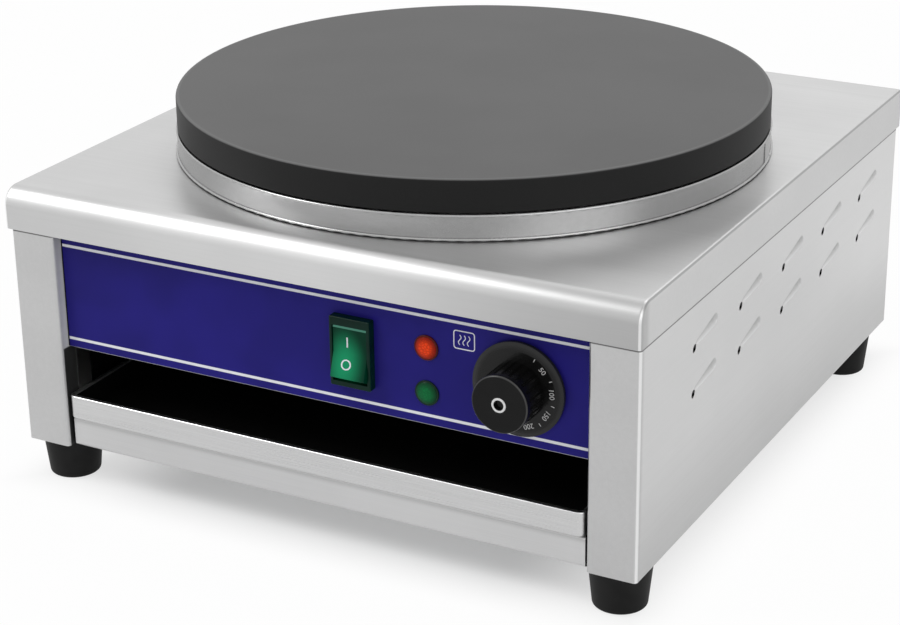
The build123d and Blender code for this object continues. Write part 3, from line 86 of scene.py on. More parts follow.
# ---------------------------------------------------------------- shader expressions
class Socket:
    """One output socket of a material, used in plain arithmetic."""

    def __init__(self, graph: "Graph", output: bpy.types.NodeSocket) -> None:
        """Keeps the graph and the output that this socket stands for."""
        self.graph = graph
        self.output = output

    def math(self, operation: str, *others: Value, swap: bool = False) -> "Socket":
        """Adds one Math node.

        Args:
            operation: the Math node's operation.
            others: the values that follow this one.
            swap: puts this socket behind the other value.

        Returns:
            The node's result.
        """
        values = [self, *others]
        if swap:
            values.reverse()
        node = self.graph.node("ShaderNodeMath", {"operation": operation}, dict(enumerate(values)))
        return self.graph.out(node)

    def __add__(self, other: Value) -> "Socket":
        """Sum."""
        return self.math("ADD", other)

    def __radd__(self, other: Value) -> "Socket":
        """Sum with a number in front."""
        return self.math("ADD", other)

    def __sub__(self, other: Value) -> "Socket":
        """Difference."""
        return self.math("SUBTRACT", other)

    def __rsub__(self, other: Value) -> "Socket":
        """Difference from a number."""
        return self.math("SUBTRACT", other, swap=True)

    def __mul__(self, other: Value) -> "Socket":
        """Product."""
        return self.math("MULTIPLY", other)

    def __truediv__(self, other: Value) -> "Socket":
        """Quotient."""
        return self.math("DIVIDE", other)

    def __pow__(self, other: Value) -> "Socket":
        """Power."""
        return self.math("POWER", other)

    def absolute(self) -> "Socket":
        """Value without its sign."""
        return self.math("ABSOLUTE")

    def ramp(self, low: float, high: float) -> "Socket":
        """Goes smoothly from 0 at low to 1 at high."""
        settings = {"interpolation_type": "SMOOTHSTEP", "clamp": True}
        return self.graph.out(self.graph.node("ShaderNodeMapRange", settings,
                                              {0: self, 1: low, 2: high, 3: 0.0, 4: 1.0}))

    def band(self, centre: float, half_width: float, soft: float) -> "Socket":
        """Is 1 within half_width of centre and 0 outside, with a soft edge."""
        return 1 - (self - centre).absolute().ramp(half_width - soft / 2, half_width + soft / 2)


def reach_of(across: Socket, up: Socket) -> Socket:
    """Returns the distance that two distances at right angles make."""
    return (across * across + up * up) ** 0.5


def grey(value: float) -> Colour:
    """Returns a neutral colour of that linear value."""
    return (value, value, value)


def scaled(colour: Colour, factor: float) -> Colour:
    """Returns a colour lightened or darkened by a factor, and no further than white."""
    return tuple(min(1.0, channel * factor) for channel in colour)


@dataclass(frozen=True)
class Noise:
    """Settings of a noise pattern: features per millimetre, finer layers, and how much each layer weighs."""

    scale: float
    detail: float = 2.0
    roughness: float = 0.5


class Graph:
    """Node graph of one material or of the world."""

    def __init__(self, owner: Union[bpy.types.Material, bpy.types.World]) -> None:
        """Empties the node tree of its owner.

        Args:
            owner: the material or the world.
        """
        self.owner = owner
        self.owner.use_nodes = True
        self.tree = owner.node_tree
        self.tree.nodes.clear()

    def node(self, kind: str, settings: Optional[dict[str, Any]] = None,
             inputs: Optional[dict[Union[str, int], Any]] = None) -> bpy.types.Node:
        """Adds a node.

        Args:
            kind: the node's type.
            settings: what is set on the node itself, before its sockets.
            inputs: values or sockets by input name or number.

        Returns:
            The new node.
        """
        node = self.tree.nodes.new(kind)
        for key, value in (settings or {}).items():
            setattr(node, key, value)
        for key, value in (inputs or {}).items():
            if isinstance(value, Socket):
                self.tree.links.new(value.output, node.inputs[key])
            else:
                node.inputs[key].default_value = value
        return node

    def out(self, node: bpy.types.Node, name: Union[str, int] = 0) -> Socket:
        """Wraps a node's output."""
        return Socket(self, node.outputs[name])

    def vector(self, operation: str, inputs: dict[Union[str, int], Any]) -> Socket:
        """Adds one Vector Math node and returns its result."""
        return self.out(self.node("ShaderNodeVectorMath", {"operation": operation}, inputs))

    def place(self) -> tuple[Socket, Place]:
        """Reads the place on the piece.

        Returns:
            The point as a vector, and its X, Y and Z, all in millimetres.
        """
        metres = self.out(self.node("ShaderNodeTexCoord"), "Object")
        point = self.vector("SCALE", {0: metres, "Scale": 1 / MM})
        parts = self.node("ShaderNodeSeparateXYZ", None, {0: point})
        return point, (self.out(parts, 0), self.out(parts, 1), self.out(parts, 2))

    def noise(self, point: Socket, pattern: Noise, stretch: Sequence[float] = (1.0, 1.0, 1.0)) -> Socket:
        """Draws noise.

        Args:
            point: the point in millimetres.
            pattern: the noise's settings.
            stretch: how fine the noise stays along each axis, with 1 for the pattern's own scale.

        Returns:
            The noise, from 0 to 1.
        """
        inputs = {"Vector": self.vector("MULTIPLY", {0: point, 1: tuple(stretch)}), "Scale": pattern.scale,
                  "Detail": pattern.detail, "Roughness": pattern.roughness}
        return self.out(self.node("ShaderNodeTexNoise", None, inputs), "Fac")

    def mix(self, amount: Value, first: Any, second: Any) -> Socket:
        """Mixes two colours.

        Args:
            amount: 0 for the first alone and 1 for the second alone.
            first: a colour or its socket.
            second: a colour or its socket.

        Returns:
            The mixed colour.
        """
        first, second = (value if isinstance(value, Socket) else (*value, 1.0) for value in (first, second))
        node = self.node("ShaderNodeMix", {"data_type": "RGBA"}, {0: amount, 6: first, 7: second})
        return self.out(node, 2)

    def lighter(self, colour: Socket, amount: Value) -> Socket:
        """Mixes white into a colour."""
        return self.mix(amount, colour, grey(1.0))

    def darker(self, colour: Socket, amount: Value, shade: float = 0.0) -> Socket:
        """Mixes black, or a dark shade of grey, into a colour."""
        return self.mix(amount, colour, grey(shade))

    def bump(self, height: Socket, strength: float, depth: float) -> Socket:
        """Returns the normal of a surface with that relief, its depth in millimetres."""
        inputs = {"Height": height, "Strength": strength, "Distance": depth * MM}
        return self.out(self.node("ShaderNodeBump", None, inputs))

    def surface(self, **inputs: Any) -> bpy.types.Material:
        """Ends the graph in one Principled shader, its sockets given with underscores for spaces."""
        named = {key.replace("_", " "): value for key, value in inputs.items()}
        return self.finish(self.out(self.node("ShaderNodeBsdfPrincipled", None, named)))

    def finish(self, shader: Socket) -> bpy.types.Material:
        """Joins a shader to the material's output and returns the material."""
        self.node("ShaderNodeOutputMaterial", None, {"Surface": shader})
        return self.owner


# ---------------------------------------------------------------- finishes
@dataclass(frozen=True)
class Finish:
    """Finish of a surface, of which each kind builds its own material.

    Lengths are in millimetres. A span gives the two values between which a soft edge runs. Relief is the
    strength and the depth of the bump.
    """

    name: str

    def start(self) -> tuple[Graph, Socket, Place]:
        """Starts the material and returns its graph, the point on the piece, and the point's X, Y and Z."""
        graph = Graph(bpy.data.materials.new(self.name))
        return (graph, *graph.place())

    def material(self) -> bpy.types.Material:
        """Builds the finish and returns its material."""
        raise NotImplementedError


class Grain(Enum):
    """Way that the brushing of a steel sheet runs, as the stretch of its noise."""

    ALONG_X = (0.004, 1.0, 1.0)
    ALONG_Y = (1.0, 0.004, 1.0)


@dataclass(frozen=True)
class BrushedSteel(Finish):
    """Stainless sheet with a fine brushed grain and faint clouding.

    The shares say how much the fine grain, the broad grain and the clouding add to the sheet's tone.
    """

    grain: Grain = Grain.ALONG_X
    light: float = 0.62
    dark: float = 0.57
    roughness: float = 0.30
    fine: Noise = Noise(2.6, 3.0, 0.7)
    broad: Noise = Noise(0.35, 2.0, 0.6)
    cloud: Noise = Noise(0.012)
    shares: tuple[float, float, float] = (0.35, 0.20, 0.45)
    contrast: Span = (0.36, 0.64)
    grain_matt: float = 0.05
    cloud_matt: float = 0.06
    relief: Span = (0.05, 0.05)

    def material(self) -> bpy.types.Material:
        """Builds the finish.

        Returns:
            The new material.
        """
        graph, point, place = self.start()
        fine, broad = (graph.noise(point, noise, self.grain.value) for noise in (self.fine, self.broad))
        cloud = graph.noise(point, self.cloud)
        tone = fine * self.shares[0] + broad * self.shares[1] + cloud * self.shares[2]
        steel = graph.mix(tone.ramp(*self.contrast), grey(self.dark), grey(self.light))
        rough = (fine - 0.5) * self.grain_matt + (cloud - 0.5) * self.cloud_matt + self.roughness
        return graph.surface(
            Base_Color=self.shaded(graph, steel, place),
            Metallic=self.metal(place),
            Roughness=self.matted(place, rough),
            Normal=graph.bump(fine, *self.relief))

    def shaded(self, graph: Graph, steel: Socket, place: Place) -> Socket:
        """Returns the sheet's colour at a place; the plain sheet stays as it is."""
        return steel

    def matted(self, place: Place, rough: Socket) -> Socket:
        """Returns the sheet's roughness at a place; the plain sheet stays as it is."""
        return rough

    def metal(self, place: Place) -> Value:
        """Returns how metallic the sheet is at a place; the plain sheet is all metal."""
        return 1.0


@dataclass(frozen=True)
class CoverSheet(BrushedSteel):
    """Cover sheet with painted light and shade: front apron that darkens to both ends and most to the right,
    paler side aprons, a painted highlight on the front corners and a painted dark line along the side folds.

    The apron's and the fold's spans lie behind the front face. The side's span is measured outwards from
    the cover's side. The painted highlight on the bend and the painted line each have their distance inside
    the side and their half width.
    """

    front_y: float = 0.0
    half_width: float = 225.0
    # Painted light and shade: the apron is painted lighter, then shaded towards its ends; the side aprons are
    # painted paler.
    front_light: float = 0.28
    left_shade: float = 0.12
    right_shade: float = 0.34
    shade: float = 0.05
    side_light: float = 0.26
    bend_light: float = 0.7
    side_fold_shade: float = 0.45
    apron: Span = (0.3, 5.0)
    fold: Span = (6.0, 13.0)
    side: Span = (-1.6, -0.3)
    bend: Span = (1.2, 0.7)
    line: Span = (0.7, 0.45)
    soft: float = 0.4

    def shaded(self, graph: Graph, steel: Socket, place: Place) -> Socket:
        """Paints light and shade: lightens and shades the front apron, lightens the side aprons, paints a
        highlight on the front corners and paints a dark line along the side folds.

        Args:
            graph: the material's graph.
            steel: the plain sheet's colour.
            place: X, Y and Z in millimetres.

        Returns:
            The colour at that place.
        """
        x, y, _ = place
        across, behind = x.absolute(), y - self.front_y
        on_front = 1 - behind.ramp(*self.apron)
        on_fold = 1 - behind.ramp(*self.fold)
        on_side = (across - self.half_width).ramp(*self.side) * (1 - on_front)
        right, left = x.ramp(0.0, self.half_width), x.ramp(0.0, -self.half_width)
        bend = across.band(self.half_width - self.bend[0], self.bend[1], self.soft) * on_front
        line = across.band(self.half_width - self.line[0], self.line[1], self.soft) * (1 - on_front)
        # Painted light and shade on the apron, the fold, the side aprons, the corner bends and the side folds.
        steel = graph.lighter(steel, on_front * self.front_light)
        steel = graph.darker(steel, on_fold * (right * self.right_shade + left * self.left_shade), self.shade)
        steel = graph.lighter(steel, on_side * self.side_light)
        steel = graph.lighter(steel, bend * self.bend_light)
        return graph.darker(steel, line * self.side_fold_shade)


@dataclass(frozen=True)
class SideSheet(BrushedSteel):
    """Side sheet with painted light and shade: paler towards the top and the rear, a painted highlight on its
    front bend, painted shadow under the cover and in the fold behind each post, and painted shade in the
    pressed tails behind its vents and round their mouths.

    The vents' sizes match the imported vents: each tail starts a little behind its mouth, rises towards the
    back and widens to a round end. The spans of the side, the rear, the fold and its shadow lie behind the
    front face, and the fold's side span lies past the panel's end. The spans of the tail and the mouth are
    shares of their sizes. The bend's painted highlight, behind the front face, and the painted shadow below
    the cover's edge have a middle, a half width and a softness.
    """

    joint_z: float = 0.0
    front_y: float = 0.0
    floor_z: float = 0.0
    corner_x: float = 223.0
    fold_inner_x: float = 190.0
    panel_z: float = 98.6
    # Painted light: the side is painted paler above its lower part and towards the rear, and the bend lighter.
    side: Span = (1.5, 7.0)
    side_light: float = 0.36
    low_share: float = 0.1
    low_height: float = 75.0
    rear: Span = (230.0, 440.0)
    rear_light: float = 0.16
    bend: tuple[float, float, float] = (1.2, 0.9, 0.4)
    bend_reach: float = 0.6
    bend_light: float = 0.75
    # Painted shadow below the cover's edge.
    cover_shadow: tuple[float, float, float] = (1.2, 1.3, 0.5)
    cover_shadow_depth: float = 0.8
    cover_shadow_tone: float = 0.05
    fold: Span = (0.8, 1.6)
    fold_depth: float = 16.0
    fold_side: Span = (1.0, 2.0)
    fold_shadow: Span = (2.0, 3.0)
    fold_matt: float = 0.30
    fold_dull: float = 0.9
    # Painted black round the vents' mouths, and as painted shadow in the fold below the panel.
    black: float = 0.97
    front_margin: float = 80.0
    rows: tuple[float, ...] = (91.0, 121.0)
    pitch: float = 74.5
    vent_count: int = 5
    cell_lead: float = 20.0
    end_share: float = 0.4
    lead: float = 3.0
    lift: float = 2.6
    run: float = 29.0
    rise: float = 4.5
    start_half: float = 1.5
    end_half: float = 3.9
    # Painted shade in the vents' pressed tails.
    tail: Span = (0.70, 1.30)
    tail_start: float = 0.75
    tail_shade: float = 0.25
    mouth_half: float = 2.2
    mouth: Span = (0.8, 1.2)

    def shaded(self, graph: Graph, steel: Socket, place: Place) -> Socket:
        """Paints light and shade: lightens the side above its lower part and towards the rear, paints a
        highlight on the bend, shadow under the cover and in the fold, shade in the vents' tails and black
        round their mouths.

        Args:
            graph: the material's graph.
            steel: the plain sheet's colour.
            place: X, Y and Z in millimetres.

        Returns:
            The colour at that place.
        """
        x, y, z = place
        behind = y - self.front_y
        height = (z - self.floor_z).ramp(0.0, self.low_height) * (1 - self.low_share) + self.low_share
        tails, mouths = self.vents(place)
        bend = behind.band(*self.bend) * (x.absolute() - self.corner_x).ramp(0.0, self.bend_reach)
        fold = behind.ramp(*self.fold_shadow) * self.in_fold(place) * (self.panel_z - z).ramp(*SOFT_STEP)
        cover_shadow = z.band(self.joint_z - self.cover_shadow[0], *self.cover_shadow[1:])
        # Painted light and shade: side and rear lighter, tails, mouths, bend highlight, fold shadow, shadow
        # under the cover.
        steel = graph.lighter(steel, behind.ramp(*self.side) * height * self.side_light)
        steel = graph.lighter(steel, behind.ramp(*self.rear) * self.rear_light)
        steel = graph.darker(steel, tails * self.tail_shade)
        steel = graph.darker(steel, mouths * self.black)
        steel = graph.lighter(steel, bend * self.bend_light)
        steel = graph.darker(steel, fold * self.black)
        return graph.darker(steel, cover_shadow * self.cover_shadow_depth, self.cover_shadow_tone)

    def vents(self, place: Place) -> tuple[Socket, Socket]:
        """Finds the vents' tails and mouths, where painted shade and black go.

        Args:
            place: X, Y and Z in millimetres.

        Returns:
            1 on their pressed tails, and 1 on their open mouths.
        """
        _, y, z = place
        behind = y - (self.front_y + self.front_margin)
        cell_y = ((behind + self.cell_lead) / self.pitch).math("FRACT") * self.pitch - self.cell_lead
        local_y = cell_y - self.lead
        rows_end = self.pitch * (self.vent_count - self.end_share)
        in_rows = (behind + self.cell_lead).ramp(*SOFT_STEP) * (rows_end - behind).ramp(*SOFT_STEP)
        tails: Any = 0.0
        mouths: Any = 0.0
        for row in self.rows:
            mouth_y = cell_y / self.mouth_half
            mouth_z = (z - (self.floor_z + row)) / self.mouth_half
            mouths = (1 - (mouth_y * mouth_y + mouth_z * mouth_z).ramp(*self.mouth)) + mouths
            local_z = z - (self.floor_z + row + self.lift)
            along = (local_y * self.run + local_z * self.rise) / (self.run ** 2 + self.rise ** 2)
            along = along.math("MAXIMUM", 0.0).math("MINIMUM", 1.0)
            reach = reach_of(local_y - along * self.run, local_z - along * self.rise)
            width = along * (self.end_half - self.start_half) + self.start_half
            depth = along * (1 - self.tail_start) + self.tail_start
            tails = (1 - (reach / width).ramp(*self.tail)) * depth + tails
        return tails * in_rows, mouths * in_rows

    def in_fold(self, place: Place) -> Socket:
        """Finds the fold behind each post's inner edge.

        Args:
            place: X, Y and Z in millimetres.

        Returns:
            1 on the fold and 0 elsewhere.
        """
        behind = place[1] - self.front_y
        deep = behind.ramp(*self.fold) * (self.fold_depth - behind).ramp(*SOFT_STEP)
        return deep * (1 - (place[0].absolute() - self.fold_inner_x).ramp(*self.fold_side))

    def matted(self, place: Place, rough: Socket) -> Socket:
        """Makes the fold matt, so that it mirrors nothing."""
        return rough + self.in_fold(place) * self.fold_matt

    def metal(self, place: Place) -> Socket:
        """Takes the mirror off the fold."""
        return 1 - self.in_fold(place) * self.fold_dull


@dataclass(frozen=True)
class RailSheet(BrushedSteel):
    """Rail sheet with painted shadow along its upper edge, under the tray, with the spans measured down from
    that edge.
    """

    top_z: float = 0.0
    shade: float = 0.35
    line: float = 0.45
    shade_drop: Span = (0.2, 6.0)
    line_drop: Span = (0.6, 1.6)
    tone: float = 0.05

    def shaded(self, graph: Graph, steel: Socket, place: Place) -> Socket:
        """Paints shadow, and a darker line, along the upper edge under the tray.

        Args:
            graph: the material's graph.
            steel: the plain sheet's colour.
            place: X, Y and Z in millimetres.

        Returns:
            The colour at that place.
        """
        drop = self.top_z - place[2]
        # Painted shadow under the tray: a broad shade and a darker line at the top.
        near = (1 - drop.ramp(*self.shade_drop)) * self.shade + (1 - drop.ramp(*self.line_drop)) * self.line
        return graph.darker(steel, near, self.tone)


@dataclass(frozen=True)
class TrayFinish(Finish):
    """Steel on the tray's outside and front rim, black and not metallic inside.

    The wall's and the rim's spans are measured inwards from the outside of the front and side walls, the
    drop's down from the rim and the floor's up from the tray's underside.
    """

    front_y: float
    floor_z: float
    rim_z: float
    half_width: float
    corner: float = 6.0
    wall: Span = (2.8, 3.6)
    rim: Span = (0.5, 0.7)
    drop: Span = (1.6, 2.2)
    floor: Span = (0.3, 0.6)
    fine: Noise = Noise(2.6, 3.0, 0.7)
    contrast: Span = (0.35, 0.65)
    light: float = 0.72
    dark: float = 0.65
    inside_tone: float = 0.004
    roughness: float = 0.28
    inside_matt: float = 0.2
    grain_matt: float = 0.06
    shine: float = 0.2
    relief: Span = (0.05, 0.05)

    def material(self) -> bpy.types.Material:
        """Builds the finish.

        Returns:
            The new material.
        """
        graph, point, (x, y, z) = self.start()
        fine = graph.noise(point, self.fine, Grain.ALONG_X.value)
        past_x = x.absolute() - (self.half_width - self.corner)
        past_y = self.front_y + self.corner - y
        deep = self.corner - reach_of(past_x.math("MAXIMUM", 0.0), past_y.math("MAXIMUM", 0.0))
        deep = deep - past_x.math("MAXIMUM", past_y).math("MINIMUM", 0.0)
        behind_rim = deep.ramp(*self.rim) * (self.rim_z - z).ramp(*self.drop)
        # The inside, and the strip just behind the rim, is made black and not metallic.
        inside = deep.ramp(*self.wall).math("MAXIMUM", behind_rim) * (z - self.floor_z).ramp(*self.floor)
        steel = graph.mix(fine.ramp(*self.contrast), grey(self.dark), grey(self.light))
        return graph.surface(
            Base_Color=graph.darker(steel, inside, self.inside_tone),
            Metallic=1 - inside,
            Roughness=self.roughness + inside * self.inside_matt + (fine - 0.5) * self.grain_matt,
            Specular_IOR_Level=self.shine,
            Normal=graph.bump(fine, *self.relief))


@dataclass(frozen=True)
class CastPlate(Finish):
    """Cast iron with a ground, seasoned top and a darker side. The top's lighter grey is partly the ground
    iron's own colour and partly a painted sheen.

    The top's span lies under the upper face, and the edge's inside the outer radius. The tones are the
    lowest and highest shares of the colour, and the painted highlight on the top's edge has a share of its
    own.
    """

    centre_y: float
    radius: float
    top_z: float
    # The top's tone is partly a painted sheen, lighter than the near-black side.
    top: float = 0.106
    side: float = 0.005
    on_top: Span = (-0.9, -0.25)
    edge: Span = (-3.2, -1.6)
    rings: Noise = Noise(0.9, 4.0, 0.75)
    cloud: Noise = Noise(0.010, 3.0)
    pores: Noise = Noise(1.6, 3.0, 0.7)
    ring_share: float = 0.4
    contrast: Span = (0.35, 0.65)
    tones: Span = (0.90, 1.10)
    rim_highlight_tone: float = 1.35
    pore_contrast: Span = (0.4, 0.7)
    side_tones: Span = (0.8, 1.3)
    roughness: float = 0.52
    ring_matt: float = 0.08
    cloud_matt: float = 0.10
    shine: float = 0.24
    ring_relief: float = 0.5
    pore_relief: float = 0.6
    relief: Span = (0.12, 0.1)

    def material(self) -> bpy.types.Material:
        """Builds the finish.

        Returns:
            The new material.
        """
        graph, point, (x, y, z) = self.start()
        reach = reach_of(x, y - self.centre_y)
        on_top = (z - self.top_z).ramp(*self.on_top)
        outwards = graph.node("ShaderNodeCombineXYZ", None, {0: reach, 1: 0.0, 2: 0.0})
        rings = graph.noise(graph.out(outwards), self.rings)
        cloud, pores = graph.noise(point, self.cloud), graph.noise(point, self.pores)
        # Painted highlight along the top's outer edge.
        rim_highlight = (reach - self.radius).ramp(*self.edge) * on_top
        tone = (rings * self.ring_share + cloud * (1 - self.ring_share)).ramp(*self.contrast)
        ground = graph.mix(tone, *(grey(self.top * share) for share in self.tones))
        ground = graph.mix(rim_highlight, ground, grey(self.top * self.rim_highlight_tone))
        rough_side = graph.mix(pores.ramp(*self.pore_contrast),
                               *(grey(self.side * share) for share in self.side_tones))
        return graph.surface(
            Base_Color=graph.mix(on_top, rough_side, ground),
            Metallic=0.0,
            Roughness=self.roughness + (rings - 0.5) * self.ring_matt + (cloud - 0.5) * self.cloud_matt,
            Specular_IOR_Level=self.shine,
            Normal=graph.bump(rings * on_top * self.ring_relief + pores * (1 - on_top) * self.pore_relief,
                              *self.relief))


@dataclass(frozen=True)
class PrintedFilm(Finish):
    """Blue panel film with pale lines across it and painted shade at both ends, where it meets the posts."""

    line_heights: tuple[float, ...]
    half_width: float
    line_half: float = 0.95
    line_soft: float = 0.3
    # Painted shade at the film's ends, where it meets the posts.
    seam: Span = (-1.2, -0.8)
    end_shade_tone: float = 0.002
    ink: Colour = (0.018, 0.0135, 0.205)
    ink_tones: Span = (0.9, 1.12)
    pale: Colour = (0.94, 0.95, 1.0)
    texture: Noise = Noise(2.2)
    cloud: Noise = Noise(0.02)
    contrast: Span = (0.3, 0.7)
    roughness: float = 0.38
    texture_matt: float = 0.08
    shine: float = 0.10
    relief: Span = (0.04, 0.04)

    def material(self) -> bpy.types.Material:
        """Builds the finish.

        Returns:
            The new material.
        """
        graph, point, (x, _, z) = self.start()
        lines: Any = 0.0
        for height in self.line_heights:
            lines = z.band(height, self.line_half, self.line_soft) + lines
        texture, cloud = graph.noise(point, self.texture), graph.noise(point, self.cloud)
        # Painted shade at both ends.
        seam = (x.absolute() - self.half_width).ramp(*self.seam)
        blue = graph.mix(cloud.ramp(*self.contrast), *(scaled(self.ink, tone) for tone in self.ink_tones))
        return graph.surface(
            Base_Color=graph.darker(graph.mix(lines, blue, self.pale), seam, self.end_shade_tone),
            Roughness=self.roughness + (texture - 0.5) * self.texture_matt,
            Specular_IOR_Level=self.shine,
            Normal=graph.bump(texture, *self.relief))


@dataclass(frozen=True)
class Moulding(Finish):
    """Moulded plastic or rubber with a fine grain and slight wear."""

    colour: Colour
    roughness: float = 0.4
    grain: float = 3.0
    strength: float = 0.10
    spread: float = 0.25
    shine: float = 0.2
    depth: float = 0.08
    cloud: Noise = Noise(0.06)
    contrast: Span = (0.3, 0.7)
    grain_matt: float = 0.12
    cloud_matt: float = 0.06

    def material(self) -> bpy.types.Material:
        """Builds the finish.

        Returns:
            The new material.
        """
        graph, point, place = self.start()
        fine, cloud = graph.noise(point, Noise(self.grain, 3.0)), graph.noise(point, self.cloud)
        low, high = (scaled(self.colour, 1 + side * self.spread) for side in (-1, 1))
        return graph.surface(
            Base_Color=self.tinted(graph, graph.mix(cloud.ramp(*self.contrast), low, high), place),
            Roughness=self.roughness + (fine - 0.5) * self.grain_matt + (cloud - 0.5) * self.cloud_matt,
            Specular_IOR_Level=self.shine,
            Normal=graph.bump(fine, self.strength, self.depth))

    def tinted(self, graph: Graph, colour: Socket, place: Place) -> Socket:
        """Returns the moulding's colour at a place; the plain moulding stays as it is."""
        return colour


@dataclass(frozen=True)
class BorderedMoulding(Moulding):
    """Moulding whose front face changes colour at a circle, down to a depth behind the face. On the knob's
    grip and skirt the paler colour past the circle is a painted highlight; on the marker it is the marker's
    white.
    """

    middle: Span = (0.0, 0.0)
    face_y: float = 0.0
    border: float = 1.0
    soft: float = 0.3
    deep: float = 1.0
    deep_soft: float = 0.2
    past: Colour = (0.1, 0.1, 0.1)

    def tinted(self, graph: Graph, colour: Socket, place: Place) -> Socket:
        """Colours the face past the circle.

        Args:
            graph: the material's graph.
            colour: the moulding's colour.
            place: X, Y and Z in millimetres.

        Returns:
            The colour at that place.
        """
        x, y, z = place
        reach = reach_of(x - self.middle[0], z - self.middle[1])
        past = reach.ramp(self.border - self.soft, self.border + self.soft)
        near_face = 1 - (y - self.face_y).ramp(self.deep - self.deep_soft, self.deep + self.deep_soft)
        return graph.mix(past * near_face, colour, self.past)


@dataclass(frozen=True)
class GlowingRocker(Finish):
    """Green clear plastic, lit from inside and brighter towards its lower left, with a painted highlight
    glowing along its top edge.

    The glow's middle lies left of and below the rocker's by shares of its half width and half height. The
    ramp runs over distances in those shares, with the ones up and down weighed less. The painted highlight
    along the top edge has its distance from the rocker's top, its half width and its softness.
    """

    centre: Span
    half: Span
    glow_shift: Span = (0.25, 0.35)
    up_weight: float = 0.85
    ramp: Span = (0.1, 1.25)
    unlit: Colour = (0.0006, 0.020, 0.010)
    lit: Colour = (0.004, 0.125, 0.056)
    faint: Colour = (0.0, 0.012, 0.006)
    bright: Colour = (0.006, 0.145, 0.062)
    # Painted highlight, glowing along the rocker's top edge.
    edge: tuple[float, float, float] = (1.0, 0.45, 0.3)
    top_highlight_share: float = 0.6
    top_highlight: Colour = (0.10, 0.30, 0.22)
    fine: Noise = Noise(1.2)
    roughness: float = 0.25
    grain_matt: float = 0.08
    shine: float = 0.08
    relief: Span = (0.04, 0.1)

    def material(self) -> bpy.types.Material:
        """Builds the finish.

        Returns:
            The new material.
        """
        graph, point, (x, _, z) = self.start()
        across = (x - self.centre[0]) / self.half[0] + self.glow_shift[0]
        up = ((z - self.centre[1]) / self.half[1] + self.glow_shift[1]) * self.up_weight
        glow = 1 - reach_of(across, up).ramp(*self.ramp)
        fine = graph.noise(point, self.fine)
        # Painted highlight along the top edge, given as glow.
        edge = z.band(self.centre[1] + self.half[1] - self.edge[0], *self.edge[1:])
        return graph.surface(
            Base_Color=graph.mix(glow, self.unlit, self.lit),
            Roughness=self.roughness + (fine - 0.5) * self.grain_matt,
            Specular_IOR_Level=self.shine,
            Emission_Color=graph.mix(edge * self.top_highlight_share, graph.mix(glow, self.faint, self.bright),
                                     self.top_highlight),
            Emission_Strength=1.0,
            Normal=graph.bump(fine, *self.relief))


@dataclass(frozen=True)
class LampLens(Finish):
    """Coloured lens with a faceted inner face and a bright middle, the fade in shares of its radius."""

    centre: Span
    radius: float
    edge: Colour
    middle: Colour
    glow: float
    cells: float = 0.55
    facets: Span = (0.0, 0.25)
    facet_share: float = 0.45
    fade: Span = (0.35, 1.0)
    edge_glow: float = 0.3
    roughness: float = 0.14
    facet_matt: float = 0.08
    shine: float = 0.12
    relief: Span = (0.15, 0.2)

    def material(self) -> bpy.types.Material:
        """Builds the finish.

        Returns:
            The new material.
        """
        graph, point, (x, _, z) = self.start()
        reach = reach_of(x - self.centre[0], z - self.centre[1]) / self.radius
        cells = graph.node("ShaderNodeTexVoronoi", {"feature": "DISTANCE_TO_EDGE"},
                           {"Vector": point, "Scale": self.cells})
        facet = graph.out(cells, "Distance").ramp(*self.facets)
        bright = (1 - reach.ramp(*self.fade)) * (facet * self.facet_share + (1 - self.facet_share))
        return graph.surface(
            Base_Color=graph.mix(bright, self.edge, self.middle),
            Roughness=self.roughness + facet * self.facet_matt,
            Specular_IOR_Level=self.shine,
            Emission_Color=graph.mix(bright, scaled(self.edge, self.edge_glow), self.middle),
            Emission_Strength=self.glow,
            Normal=graph.bump(facet, *self.relief))


@dataclass(frozen=True)
class BareMetal(Finish):
    """Plated or plain metal of the small hidden parts, its spangle in flakes per millimetre."""

    colour: Colour
    roughness: float = 0.35
    spangle: float = 0.12
    low_tone: float = 0.85
    flake_share: float = 0.6
    fine: Noise = Noise(1.5, 3.0)
    flake_matt: float = 0.10
    fine_matt: float = 0.08
    relief: Span = (0.06, 0.06)

    def material(self) -> bpy.types.Material:
        """Builds the finish.

        Returns:
            The new material.
        """
        graph, point, _ = self.start()
        cells = graph.node("ShaderNodeTexVoronoi", None, {"Vector": point, "Scale": self.spangle})
        flakes = graph.node("ShaderNodeSeparateColor", None, {0: graph.out(cells, "Color")})
        flake, fine = graph.out(flakes), graph.noise(point, self.fine)
        tone = flake * self.flake_share + fine * (1 - self.flake_share)
        return graph.surface(
            Base_Color=graph.mix(tone, scaled(self.colour, self.low_tone), self.colour),
            Metallic=1.0,
            Roughness=self.roughness + (flake - 0.5) * self.flake_matt + (fine - 0.5) * self.fine_matt,
            Normal=graph.bump(fine, *self.relief))


class Palette:
    """Builds each finish once and hands it out."""

    def __init__(self) -> None:
        """Starts with nothing built."""
        self.built: dict[str, bpy.types.Material] = {}

    def get(self, finish: Finish) -> bpy.types.Material:
        """Hands out a finish.

        Args:
            finish: the finish.

        Returns:
            Its material.
        """
        if finish.name not in self.built:
            self.built[finish.name] = finish.material()
        return self.built[finish.name]


